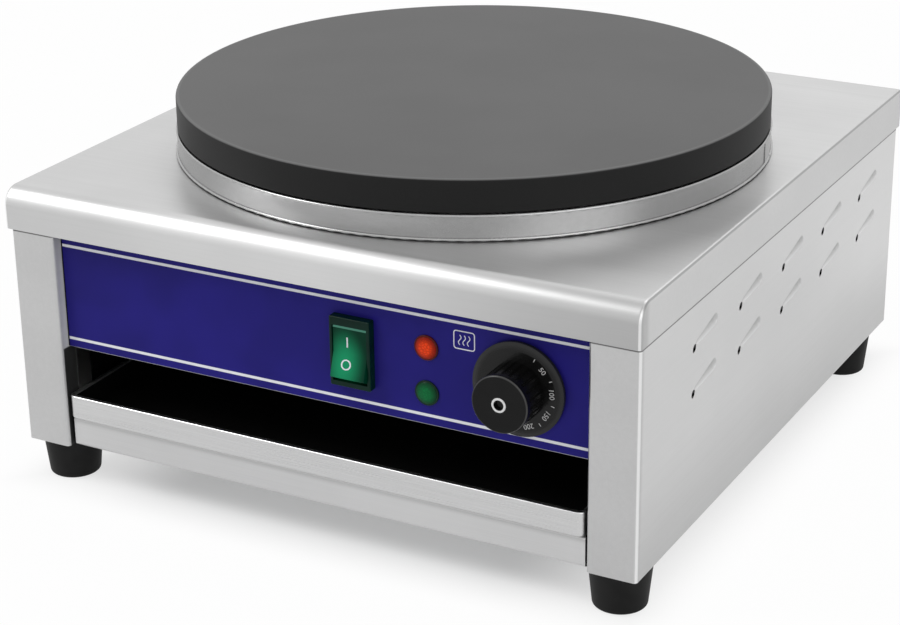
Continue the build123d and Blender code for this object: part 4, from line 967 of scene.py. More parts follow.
# After its name and colour, a metal has its roughness and its spangle, and a moulding its roughness, its
# grain, the grain's strength, the spread of its tones and its shine.
SLOT_FINISHES: dict[str, Finish] = {
    "stainless": BrushedSteel("sheet_steel_plain"),
    "galvanised": BareMetal("galvanised_sheet", (0.56, 0.57, 0.58), 0.42, 0.10),
    "element_sheath": BareMetal("element_sheath", (0.24, 0.22, 0.20), 0.45, 0.3),
    "insulation": Moulding("fibre_board", (0.62, 0.58, 0.48), 0.9, 1.2, 0.5, 0.12),
    "black_paint": Moulding("black_enamel", grey(0.0035), 0.5, 2.0, 0.08, 0.2),
    "zinc_steel": BareMetal("zinc_screws", (0.60, 0.61, 0.62), 0.3, 0.8),
    "panel_print": Moulding("film_blue", (0.014, 0.010, 0.125), 0.38),
    "black_plastic": Moulding("lamp_holder_plastic", grey(0.012), 0.35),
    "knob_plastic": Moulding("knob_plastic", grey(0.008), 0.38, 3.5, 0.12),
    "marker_plastic": Moulding("marker_plastic", grey(0.85), 0.3, 3.0, 0.05, 0.05, 0.4),
    "green_lens": Moulding("green_plastic", (0.01, 0.20, 0.09), 0.2),
    "red_lens": Moulding("red_plastic", (0.55, 0.03, 0.01), 0.2),
    "brass": BareMetal("brass_blades", (0.72, 0.52, 0.22), 0.3, 0.6),
    "thermostat_case": Moulding("thermostat_case", (0.62, 0.60, 0.54), 0.6, 2.0, 0.2, 0.1),
    "steel_shaft": BareMetal("shaft_steel", (0.62, 0.62, 0.63), 0.25, 0.6),
    "copper": BareMetal("copper_tube", (0.72, 0.34, 0.20), 0.3, 0.5),
    "terminal_ceramic": Moulding("terminal_ceramic", (0.75, 0.73, 0.68), 0.35, 1.5, 0.1, 0.06, 0.4),
    "gland_plastic": Moulding("gland_nylon", grey(0.016), 0.42, 3.0, 0.15),
    "rubber": Moulding("foot_rubber", grey(0.010), 0.52, 2.4, 0.12, shine=0.15),
    "red_wire": Moulding("heater_wire_red", (0.35, 0.02, 0.02), 0.5),
    "brown_wire": Moulding("supply_wire_brown", (0.12, 0.05, 0.02), 0.5),
    "earth_wire": Moulding("earth_wire_green", (0.14, 0.30, 0.04), 0.5),
    "cast_plate": Moulding("cast_iron_rough", grey(0.03), 0.6, 1.2, 0.3),
}


# ---------------------------------------------------------------- modelling
class Facing(Enum):
    """Way that a turned piece's axis points, as a turn about X in degrees."""

    UP = 0.0
    FRONT = 90.0


def deselect() -> None:
    """Selects nothing."""
    bpy.ops.object.select_all(action="DESELECT")


def take(piece: bpy.types.Object) -> None:
    """Makes a piece the only selected and the active one.

    Args:
        piece: the piece.
    """
    deselect()
    piece.select_set(True)
    bpy.context.view_layer.objects.active = piece


def edit(piece: bpy.types.Object) -> None:
    """Takes a piece into edit mode with its whole mesh selected.

    Args:
        piece: the piece.
    """
    take(piece)
    bpy.ops.object.mode_set(mode="EDIT")
    bpy.ops.mesh.select_all(action="SELECT")


def close_up() -> None:
    """Merges the doubles of the mesh in edit mode, turns its faces outwards and leaves edit mode."""
    bpy.ops.mesh.select_all(action="SELECT")
    bpy.ops.mesh.remove_doubles(threshold=NEW_REACH)
    bpy.ops.mesh.normals_make_consistent(inside=False)
    bpy.ops.object.mode_set(mode="OBJECT")


def settle(piece: bpy.types.Object) -> None:
    """Puts a piece's place, turn and size into its mesh."""
    take(piece)
    bpy.ops.object.transform_apply(location=True, rotation=True, scale=True)


def stand(piece: bpy.types.Object, centre: Sequence[float], turn: float = 90.0) -> None:
    """Tilts a piece about X, moves it and puts both into its mesh.

    Args:
        piece: the piece, modelled about the origin.
        centre: where its origin goes, in metres.
        turn: the tilt in degrees, with 90 for a piece that faces the front.
    """
    piece.rotation_euler = (math.radians(turn), 0.0, 0.0)
    piece.location = centre
    settle(piece)


def smooth(piece: bpy.types.Object, angle: float = SHARP) -> None:
    """Shades a piece smooth over its bends.

    Args:
        piece: the finished mesh.
        angle: edges that bend more, in degrees, stay sharp.
    """
    take(piece)
    bpy.ops.object.shade_smooth_by_angle(angle=math.radians(angle))
    modifier = piece.modifiers.new("weigh", "WEIGHTED_NORMAL")
    modifier.keep_sharp = True
    modifier.weight = FLAT_WEIGHT
    bpy.ops.object.modifier_apply(modifier=modifier.name)


def dress(piece: bpy.types.Object, material: bpy.types.Material) -> None:
    """Gives a piece one material all over."""
    piece.data.materials.clear()
    piece.data.materials.append(material)


def merged_copy(node: str, name: str, angle: float = SHARP) -> bpy.types.Object:
    """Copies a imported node, joins its triangles and shades it smooth.

    Args:
        node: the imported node's name.
        name: the new piece's name.
        angle: edges that bend more, in degrees, stay sharp.

    Returns:
        The new piece, in the node's place.
    """
    piece = bpy.data.objects.new(name, bpy.data.objects[node].data.copy())
    bpy.context.scene.collection.objects.link(piece)
    take(piece)
    bpy.ops.mesh.customdata_custom_splitnormals_clear()
    edit(piece)
    bpy.ops.mesh.remove_doubles(threshold=COPY_REACH)
    bpy.ops.object.mode_set(mode="OBJECT")
    smooth(piece, angle)
    return piece


def turned(name: str, rings: Sequence[Span], centre: Sequence[float], facing: Facing = Facing.UP,
           segments: int = 96, angle: float = 30.0) -> bpy.types.Object:
    """Turns a profile, as on a lathe, from a disc that is extruded and scaled ring by ring.

    Args:
        name: the piece's name.
        rings: radius and height along the axis of each ring, in millimetres.
        centre: where height 0 lies, in metres.
        facing: way that the axis points.
        segments: corners round the circle.
        angle: edges that bend more, in degrees, stay sharp.

    Returns:
        The finished piece.
    """
    deselect()
    radius, height = rings[0]
    bpy.ops.mesh.primitive_circle_add(vertices=segments, radius=radius * MM, fill_type="NGON",
                                      location=(0.0, 0.0, height * MM))
    piece = bpy.context.object
    piece.name = name
    bpy.ops.object.transform_apply(location=True, rotation=False, scale=False)
    bpy.ops.object.mode_set(mode="EDIT")
    bpy.ops.mesh.select_mode(type="EDGE")
    bpy.ops.mesh.select_all(action="SELECT")
    for next_radius, next_height in rings[1:]:
        move = {"value": (0.0, 0.0, (next_height - height) * MM)}
        bpy.ops.mesh.extrude_edges_move(TRANSFORM_OT_translate=move)
        ratio = next_radius / radius
        bpy.ops.transform.resize(value=(ratio, ratio, 1.0), center_override=(0.0, 0.0, next_height * MM))
        radius, height = next_radius, next_height
    bpy.ops.mesh.edge_face_add()
    close_up()
    stand(piece, centre, facing.value)
    smooth(piece, angle)
    return piece


def rounding(radius: float, height: float, cut: float, start: float, end: float, steps: int) -> list[Span]:
    """Returns the rings of a rounded rim.

    Args:
        radius: outside radius of the piece.
        height: height of the face that the rounding ends on.
        cut: radius of the rounding.
        start: first angle in degrees, 0 pointing outwards and 90 up.
        end: last angle in degrees.
        steps: number of steps.

    Returns:
        Radius and height of each ring.
    """
    middle = height - cut if max(start, end) > 0 else height + cut
    angles = [math.radians(start + (end - start) * i / steps) for i in range(steps + 1)]
    return [(radius - cut + cut * math.cos(a), middle + cut * math.sin(a)) for a in angles]


def line_frame(name: str, centre: Sequence[float], size: Span, corner: float, line: float, proud: float,
               steps: int = 5) -> bpy.types.Object:
    """Makes a thin printed frame with round corners on a front-facing surface.

    Args:
        name: the piece's name.
        centre: middle of the frame on the surface, in metres.
        size: outside width and height in millimetres.
        corner: radius of the outside corners in millimetres.
        line: width of the line in millimetres.
        proud: how far the line stands off the surface in millimetres.
        steps: number of steps round each corner.

    Returns:
        The finished piece.
    """
    deselect()
    bpy.ops.mesh.primitive_plane_add(size=1.0)
    piece = bpy.context.object
    piece.name = name
    piece.scale = (size[0] * MM, size[1] * MM, 1.0)
    settle(piece)
    edit(piece)
    bpy.ops.mesh.bevel(offset=corner * MM, segments=steps, affect="VERTICES")
    bpy.ops.mesh.select_all(action="SELECT")
    bpy.ops.mesh.inset(thickness=line * MM)
    bpy.ops.mesh.delete(type="FACE")
    bpy.ops.mesh.select_all(action="SELECT")
    bpy.ops.mesh.extrude_region_move(TRANSFORM_OT_translate={"value": (0.0, 0.0, proud * MM)})
    bpy.ops.mesh.select_all(action="SELECT")
    bpy.ops.mesh.normals_make_consistent(inside=False)
    bpy.ops.object.mode_set(mode="OBJECT")
    stand(piece, centre)
    return piece


def figures(name: str, text: str, size: float, proud: float, turn: float, centre: Sequence[float],
            lean: float = 0.0) -> bpy.types.Object:
    """Makes raised figures on a front-facing surface.

    Args:
        name: the piece's name.
        text: what is written.
        size: letter height in millimetres.
        proud: how far the figures stand off the surface in millimetres.
        turn: turn of the figures about the surface's normal, in degrees, clockwise as seen.
        centre: middle of the figures on the surface, in metres.
        lean: how far the surface leans back from upright, in degrees.

    Returns:
        The finished piece as a mesh.
    """
    deselect()
    bpy.ops.object.text_add()
    piece = bpy.context.object
    piece.name = name
    piece.data.body = text
    piece.data.size = size * MM / CAPITAL_SHARE
    piece.data.align_x = piece.data.align_y = "CENTER"
    piece.data.extrude = proud * MM
    piece.data.resolution_u = LETTER_STEPS
    take(piece)
    bpy.ops.object.convert(target="MESH")
    piece = bpy.context.object
    bpy.ops.object.mode_set(mode="EDIT")
    close_up()
    facing = Matrix.Rotation(math.radians(90.0 - lean), 4, "X") @ Matrix.Rotation(math.radians(-turn), 4, "Z")
    piece.matrix_world = Matrix.Translation(Vector(centre)) @ facing
    settle(piece)
    return piece


def join(name: str, pieces: Sequence[bpy.types.Object]) -> bpy.types.Object:
    """Joins pieces into the first one.

    Args:
        name: the joined piece's name.
        pieces: the pieces.

    Returns:
        The joined piece.
    """
    deselect()
    for piece in pieces:
        piece.select_set(True)
    bpy.context.view_layer.objects.active = pieces[0]
    bpy.ops.object.join()
    pieces[0].name = name
    return pieces[0]


def middle_of(node: str) -> Vector:
    """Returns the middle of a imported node's box."""
    low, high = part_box(node)
    return (low + high) / 2


def front_view(node: str) -> tuple[Span, Span]:
    """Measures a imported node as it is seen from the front.

    Args:
        node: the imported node's name.

    Returns:
        X and Z of its middle, and its half width and half height, all in millimetres.
    """
    low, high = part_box(node)
    middle = ((low.x + high.x) / 2 / MM, (low.z + high.z) / 2 / MM)
    return middle, ((high.x - low.x) / 2 / MM, (high.z - low.z) / 2 / MM)


# ---------------------------------------------------------------- sub-assemblies
@dataclass
class SubAssembly:
    """Group of pieces that are built and dressed together, its sizes in millimetres and degrees."""

    palette: Palette

    def build(self) -> list[bpy.types.Object]:
        """Builds the pieces and returns them."""
        raise NotImplementedError

    def fix(self, piece: bpy.types.Object, finish: Finish, body: str, slot: str,
            *nodes: str) -> bpy.types.Object:
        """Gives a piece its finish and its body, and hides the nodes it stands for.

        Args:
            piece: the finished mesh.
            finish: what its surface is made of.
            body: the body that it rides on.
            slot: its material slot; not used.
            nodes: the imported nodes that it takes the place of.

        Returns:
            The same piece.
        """
        dress(piece, self.palette.get(finish))
        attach(piece, body)
        if nodes:
            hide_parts(*nodes)
        return piece


@dataclass
class Housing(SubAssembly):
    """Folded steel housing: cover, side panels with their posts, rail, rear panel and fascia."""

    cover_roughness: float = 0.40
    rail_light: float = 0.70
    rail_dark: float = 0.65
    corner_inset: float = 1.6
    sheets: tuple[tuple[str, str, Grain], ...] = (
        ("top_cover", "cover_sheet", Grain.ALONG_X),
        ("left_side_panel", "left_side_sheet", Grain.ALONG_Y),
        ("right_side_panel", "right_side_sheet", Grain.ALONG_Y),
        ("front_rail", "rail_sheet", Grain.ALONG_X),
        ("rear_panel", "rear_sheet", Grain.ALONG_X),
        ("control_fascia", "fascia_sheet", Grain.ALONG_X),
    )

    def build(self) -> list[bpy.types.Object]:
        """Builds the sheets and returns them."""
        return [self.fix(merged_copy(node, name), self.finish_of(node, grain), "housing", "stainless", node)
                for node, name, grain in self.sheets]

    def finish_of(self, node: str, grain: Grain) -> BrushedSteel:
        """Chooses the finish of one sheet.

        Args:
            node: the sheet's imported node.
            grain: way that its brushing runs.

        Returns:
            The finish.
        """
        low, high = (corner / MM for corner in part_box(node))
        if node == "top_cover":
            return CoverSheet("cover_steel", grain, roughness=self.cover_roughness, front_y=low.y,
                              half_width=high.x)
        if node.endswith("side_panel"):
            panel_low, panel_high = (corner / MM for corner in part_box("control_fascia"))
            corner_x = max(abs(low.x), abs(high.x)) - self.corner_inset
            return SideSheet("side_sheet_steel", grain, joint_z=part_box("top_cover")[0].z / MM, front_y=low.y,
                             floor_z=low.z, corner_x=corner_x, fold_inner_x=panel_high.x, panel_z=panel_low.z)
        if node == "front_rail":
            return RailSheet("rail_steel", grain, light=self.rail_light, dark=self.rail_dark, top_z=high.z)
        return BrushedSteel(f"brushed_{grain.name.lower()}", grain)


@dataclass
class Griddle(SubAssembly):
    """Cast plate and the steel band under it.

    The plate's flat top has one ring at a share of its radius and one round its eye. The upper part of the
    band's rim is drawn up until the gap to the plate is left, and the band is turned to set its seam.
    """

    plate_chamfer: float = 1.5
    plate_web: float = 11.0
    plate_rim: float = 12.0
    rim_ease: float = 0.6
    side_round: float = 0.8
    side_steps: int = 5
    chamfer_steps: int = 6
    ring_share: float = 0.5
    eye: float = 8.0
    segments: int = 256
    plate_sharp: float = 40.0
    band_gap: float = 0.8
    rim_part: float = 2.0
    seam_turn: float = 13.0
    # The band's steel is painted darker than the sheets, as painted shade and dark reflection under the plate.
    band_finish: BrushedSteel = BrushedSteel("band_steel", light=0.42, dark=0.36, roughness=0.26)

    def build(self) -> list[bpy.types.Object]:
        """Builds the plate and its band and returns them."""
        return [self.plate(), self.band()]

    def plate(self) -> bpy.types.Object:
        """Builds the plate with its eased upper edge and hollow underside.

        Returns:
            The finished piece.
        """
        low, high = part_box("griddle_plate")
        radius = (high.x - low.x) / 2 / MM
        thick = (high.z - low.z) / MM
        rim = radius - self.plate_rim
        rings = [(rim, thick - self.plate_web), (rim, self.rim_ease), (rim + self.rim_ease, 0.0)]
        rings += rounding(radius, 0.0, self.side_round, -90.0, 0.0, self.side_steps)
        rings += rounding(radius, thick, self.plate_chamfer, 0.0, 90.0, self.chamfer_steps)
        rings += [(radius * self.ring_share, thick), (self.eye, thick)]
        centre = (0.0, (low.y + high.y) / 2, low.z)
        piece = turned("griddle_disc", rings, centre, segments=self.segments, angle=self.plate_sharp)
        finish = CastPlate("seasoned_iron", centre[1] / MM, radius, high.z / MM)
        return self.fix(piece, finish, "housing", "cast_plate", "griddle_plate")

    def band(self) -> bpy.types.Object:
        """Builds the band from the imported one, with its rolled rim and lap.

        Returns:
            The finished piece.
        """
        piece = merged_copy("plate_ring", "plate_band")
        top = max(vertex.co.z for vertex in piece.data.vertices)
        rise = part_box("griddle_plate")[0].z - self.band_gap * MM - top
        self.pick_above(piece, top - self.rim_part * MM)
        bpy.ops.transform.translate(value=(0.0, 0.0, rise))
        bpy.ops.mesh.select_all(action="SELECT")
        bpy.ops.transform.rotate(value=-math.radians(self.seam_turn), orient_axis="Z",
                                 center_override=tuple(middle_of("griddle_plate")))
        bpy.ops.mesh.customdata_custom_splitnormals_clear()
        bpy.ops.object.mode_set(mode="OBJECT")
        smooth(piece)
        return self.fix(piece, self.band_finish, "housing", "stainless", "plate_ring")

    @staticmethod
    def pick_above(piece: bpy.types.Object, height: float) -> None:
        """Selects the piece's vertices above a height and leaves it in edit mode.

        Args:
            piece: the piece.
            height: the height in metres.
        """
        take(piece)
        bpy.ops.object.mode_set(mode="EDIT")
        bpy.ops.mesh.select_mode(type="VERT")
        bpy.ops.mesh.select_all(action="DESELECT")
        bpy.ops.object.mode_set(mode="OBJECT")
        for vertex in piece.data.vertices:
            vertex.select = vertex.co.z > height
        bpy.ops.object.mode_set(mode="EDIT")


@dataclass
class UtensilTray(SubAssembly):
    """Pull-out tray in the compartment, with a stop lug on either side."""

    lug_width: float = 1.4

    def build(self) -> list[bpy.types.Object]:
        """Builds the tray.

        Returns:
            The tray alone.
        """
        low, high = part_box("utensil_tray")
        piece = merged_copy("utensil_tray", "tray_pan")
        half_width = (high.x - low.x) / 2 / MM - self.lug_width
        finish = TrayFinish("tray_steel_black_inside", low.y / MM, low.z / MM, high.z / MM, half_width)
        return [self.fix(piece, finish, "tray", "stainless", "utensil_tray")]


@dataclass(frozen=True)
class HeatMark:
    """Small framed heat mark of three rising waves, its sizes in millimetres.

    The handles are the length of each bend's handles across, in shares of the swing, and along, in shares
    of the height.
    """

    centre: Span = (105.7, 159.0)
    frame: Span = (14.6, 12.2)
    corner: float = 2.0
    frame_line: float = 0.7
    step: float = 3.0
    height: float = 6.4
    swing: float = 0.75
    handles: Span = (1.6, 0.2)
    bend_steps: int = 8
    stroke: float = 0.32
    flatness: float = 0.25

    def build(self, face_y: float, proud: float) -> bpy.types.Object:
        """Builds the mark.

        Args:
            face_y: Y of the surface that it is printed on, in metres.
            proud: how far the frame stands off the surface, in millimetres.

        Returns:
            The finished piece.
        """
        x, z = (value * MM for value in self.centre)
        parts = [line_frame("icon", (x, face_y, z), self.frame, self.corner, self.frame_line, proud)]
        for side in (-1, 0, 1):
            parts.append(self.wave((x + side * self.step * MM, face_y, z)))
        return join("heat_mark", parts)

    def wave(self, centre: Sequence[float]) -> bpy.types.Object:
        """Makes one wavy line.

        Args:
            centre: its middle, in metres.

        Returns:
            The finished piece.
        """
        deselect()
        bpy.ops.curve.primitive_bezier_curve_add()
        piece = bpy.context.object
        points = piece.data.splines[0].bezier_points
        points.add(1)
        for index, point in enumerate(points):
            along = (index / 2 - 0.5) * self.height * MM
            across = self.swing * self.handles[0] * MM * (1 if index % 2 else -1)
            length = self.height * self.handles[1] * MM
            point.handle_left_type = point.handle_right_type = "FREE"
            point.co = (0.0, along, 0.0)
            point.handle_left = (-across, along - length, 0.0)
            point.handle_right = (across, along + length, 0.0)
        piece.data.dimensions = "3D"
        piece.data.resolution_u = self.bend_steps
        piece.data.bevel_depth = self.stroke * MM
        piece.data.bevel_resolution = 1
        take(piece)
        bpy.ops.object.convert(target="MESH")
        piece = bpy.context.object
        piece.scale = (1.0, 1.0, self.flatness)
        settle(piece)
        stand(piece, centre)
        return piece


@dataclass
class ControlPanel(SubAssembly):
    """Printed film, rocker switch and signal lamps.

    The lines and the rocker's ring are measured down from the film's top and from the rocker's crease. A
    lens has an edge eased inwards and forwards, a straight wall that takes a share of its depth, and a dome
    over the rest, whose rings lie at the given angles.
    """

    line_drops: tuple[float, ...] = (15.5, 80.6)
    heat_mark: HeatMark = HeatMark()
    mark_proud: float = 0.08
    mark_shift: float = -1.8
    mark_height: float = 6.8
    rocker_sink: float = 1.0
    rocker_lean: float = 18.0
    crease_rise: float = 0.95
    bar_rise: float = 6.5
    ring_drop: float = 7.9
    switch_sharp: float = 40.0
    lens_edge: Span = (0.4, 0.3)
    lens_wall: float = 0.25
    lens_angles: tuple[float, ...] = (15, 30, 45, 60, 75, 86)
    lens_segments: int = 48
    lens_sharp: float = 60.0
    rim_tone: float = 0.4
    rim_roughness: float = 0.3
    marks: Moulding = Moulding("panel_marks", (0.85, 0.85, 0.92), strength=0.05, spread=0.05)
    bezel: Moulding = Moulding("bezel_green", (0.0008, 0.020, 0.0125), 0.18, grain=2.0, strength=0.04,
                               shine=0.14)
    lamp_colours: tuple[tuple[str, Colour, Colour, float], ...] = (
        ("red", (0.22, 0.008, 0.001), (0.58, 0.040, 0.005), 0.50),
        ("green", (0.001, 0.050, 0.016), (0.002, 0.135, 0.036), 0.25),
    )

    def build(self) -> list[bpy.types.Object]:
        """Builds the panel's pieces and returns them."""
        return [self.film(), self.icon(), *self.switch(), *self.lamps()]

    def film(self) -> bpy.types.Object:
        """Builds the printed film with eased edges.

        Returns:
            The finished piece.
        """
        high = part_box("control_overlay")[1]
        piece = merged_copy("control_overlay", "panel_film")
        heights = tuple(high.z / MM - drop for drop in self.line_drops)
        finish = PrintedFilm("printed_film", heights, high.x / MM)
        return self.fix(piece, finish, "housing", "panel_print", "control_overlay")

    def icon(self) -> bpy.types.Object:
        """Builds the heat mark on the film."""
        piece = self.heat_mark.build(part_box("control_overlay")[0].y, self.mark_proud)
        return self.fix(piece, self.marks, "housing", "panel_print")

    def switch(self) -> list[bpy.types.Object]:
        """Builds the switch.

        Returns:
            Its bezel, its rocker and the rocker's marks.
        """
        glow = GlowingRocker("rocker_green", *front_view("switch_rocker"))
        bezel = merged_copy("switch_housing", "switch_bezel", self.switch_sharp)
        rocker = merged_copy("switch_rocker", "switch_rocker_cap", self.switch_sharp)
        return [self.fix(bezel, self.bezel, "housing", "black_plastic", "switch_housing"),
                self.fix(rocker, glow, "rocker", "green_lens", "switch_rocker"),
                self.fix(self.switch_marks(), self.marks, "rocker", "marker_plastic")]

    def switch_marks(self) -> bpy.types.Object:
        """Builds the bar and the ring on the two halves of the rocker's face.

        Returns:
            The two as one piece.
        """
        low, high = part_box("switch_rocker")
        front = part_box("switch_housing")[0].y + self.rocker_sink * MM
        x = (low.x + high.x) / 2 + self.mark_shift * MM
        crease = (low.z + high.z) / 2 + self.crease_rise * MM
        slope, drop = math.radians(self.rocker_lean), self.ring_drop * MM
        bar_place = (x, front, crease + self.bar_rise * MM)
        ring_place = (x, front - math.sin(slope) * drop, crease - math.cos(slope) * drop)
        bar = figures("bar_mark", "I", self.mark_height, self.mark_proud, 0.0, bar_place)
        ring = figures("ring_mark", "O", self.mark_height, self.mark_proud, 0.0, ring_place, self.rocker_lean)
        return join("switch_marks", [bar, ring])

    def lamps(self) -> list[bpy.types.Object]:
        """Builds the two lamps.

        Returns:
            Each lamp's lens and its holder.
        """
        pieces = []
        for colour, edge, middle, glow in self.lamp_colours:
            glass = f"{colour}_lamp_lens"
            low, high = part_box(glass)
            centre, (radius, _) = front_view(glass)
            wall, dome = ((high.y - low.y) / MM * share for share in (self.lens_wall, 1 - self.lens_wall))
            rings = [(radius - self.lens_edge[0], 0.0), (radius, self.lens_edge[1]), (radius, wall)]
            rings += [(radius * math.cos(angle), wall + dome * math.sin(angle))
                      for angle in map(math.radians, self.lens_angles)]
            lens = turned(f"{colour}_lens", rings, (centre[0] * MM, high.y, centre[1] * MM), Facing.FRONT,
                          self.lens_segments, self.lens_sharp)
            finish = LampLens(f"{colour}_lens_glass", centre, radius, edge, middle, glow)
            pieces.append(self.fix(lens, finish, "housing", f"{colour}_lens", glass))
            holder = merged_copy(f"{colour}_lamp_body", f"{colour}_lamp_holder")
            rim = Moulding(f"{colour}_rim", scaled(edge, self.rim_tone), self.rim_roughness)
            pieces.append(self.fix(holder, rim, "housing", "black_plastic", f"{colour}_lamp_body"))
        return pieces


@dataclass(frozen=True)
class KnobPart:
    """One of the knob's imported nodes; the border on its face lies inside its edge by the inset."""

    node: str
    name: str
    slot: str
    inset: float
    finish: BorderedMoulding


@dataclass
class ThermostatKnob(SubAssembly):
    """Knob cap, numbered skirt and centre marker."""

    parts: tuple[KnobPart, ...] = (
        # The grip's paler face rim and the skirt's paler outer rim are painted highlights; the marker's white
        # is its own.
        KnobPart("knob_cap", "knob_grip", "knob_plastic", 0.8,
                 BorderedMoulding("grip_black", grey(0.0035), roughness=0.22, grain=3.5, strength=0.06,
                                  spread=0.2, shine=0.18, past=grey(0.065))),
        KnobPart("knob_skirt", "dial_skirt", "knob_plastic", 2.4,
                 BorderedMoulding("skirt_gloss", grey(0.006), roughness=0.20, grain=2.5, strength=0.05,
                                  spread=0.2, shine=0.26, soft=1.2, deep=4.0, past=grey(0.022))),
        KnobPart("knob_marker", "marker_ring", "marker_plastic", 1.3,
                 BorderedMoulding("marker_white", grey(0.004), roughness=0.3, strength=0.05, spread=0.05,
                                  soft=0.1, deep=3.0, past=grey(0.85))),
    )
    sharp: float = 32.0
    numerals: tuple[str, ...] = ("50", "100", "150", "200", "250", "300")
    first_angle: float = 47.0
    angle_step: float = 37.6
    numeral_reach: float = 22.9
    numeral_size: float = 3.3
    tick_reach: float = 24.4
    tick_size: Span = (0.5, 2.2)
    tick_edge: float = 0.03
    tick_sharp: float = 50.0
    proud: float = 0.06
    ink: Moulding = Moulding("dial_ink", grey(0.62), roughness=0.45, strength=0.05, spread=0.06)

    def build(self) -> list[bpy.types.Object]:
        """Builds the knob's pieces and returns them."""
        pieces = [self.fix(merged_copy(part.node, part.name, self.sharp), self.bordered(part), "knob",
                           part.slot, part.node) for part in self.parts]
        return [*pieces, self.dial()]

    @staticmethod
    def bordered(part: KnobPart) -> BorderedMoulding:
        """Returns a part's finish with its border set round the middle of its face."""
        middle, (radius, _) = front_view(part.node)
        return replace(part.finish, middle=middle, border=radius - part.inset,
                       face_y=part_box(part.node)[0].y / MM)

    def dial(self) -> bpy.types.Object:
        """Builds the figures and the ticks that stand round the skirt.

        Returns:
            All of them as one piece.
        """
        parts = []
        for index, numeral in enumerate(self.numerals):
            angle = self.first_angle + index * self.angle_step
            spot = self.spot(angle, self.numeral_reach)
            parts.append(figures(f"figure_{numeral}", numeral, self.numeral_size, self.proud, angle, spot))
        for index in range(len(self.numerals) + 1):
            parts.append(self.tick(self.first_angle + (index - 0.5) * self.angle_step))
        return self.fix(join("dial_marks", parts), self.ink, "knob", "marker_plastic")

    def spot(self, angle: float, reach: float) -> tuple[float, float, float]:
        """Finds a point on the skirt's face.

        Args:
            angle: degrees clockwise from its top.
            reach: distance from its middle in millimetres.

        Returns:
            The point in metres.
        """
        middle, turn = middle_of("knob_skirt"), math.radians(angle)
        return (middle.x + math.sin(turn) * reach * MM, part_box("knob_skirt")[0].y,
                middle.z + math.cos(turn) * reach * MM)

    def tick(self, angle: float) -> bpy.types.Object:
        """Makes one tick between two figures.

        Args:
            angle: degrees clockwise from the skirt's top.

        Returns:
            The finished piece.
        """
        deselect()
        bpy.ops.mesh.primitive_cube_add(size=1.0)
        piece = bpy.context.object
        piece.name = "tick"
        piece.scale = (self.tick_size[0] * MM, 2 * self.proud * MM, self.tick_size[1] * MM)
        settle(piece)
        modifier = piece.modifiers.new("edge", "BEVEL")
        modifier.width = self.tick_edge * MM
        modifier.segments = 1
        bpy.ops.object.modifier_apply(modifier=modifier.name)
        smooth(piece, self.tick_sharp)
        piece.rotation_euler = (0.0, math.radians(angle), 0.0)
        piece.location = self.spot(angle, self.tick_reach)
        settle(piece)
        return piece


@dataclass
class Feet(SubAssembly):
    """Four rubber feet."""

    places: tuple[str, ...] = ("front_left", "front_right", "rear_left", "rear_right")
    sharp: float = 50.0

    def build(self) -> list[bpy.types.Object]:
        """Builds the feet and returns them."""
        return [self.fix(merged_copy(f"{place}_foot", f"{place}_rubber_foot", self.sharp),
                         SLOT_FINISHES["rubber"], "housing", "rubber", f"{place}_foot")
                for place in self.places]


@dataclass
class PackedParts:
    """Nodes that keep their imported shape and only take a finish."""

    palette: Palette
    record: dict[str, Any]

    def dress_all(self) -> None:
        """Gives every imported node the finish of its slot."""
        for part in self.record["subparts"]:
            dress(bpy.data.objects[part["node"]], self.palette.get(SLOT_FINISHES[part["material_slot"]]))


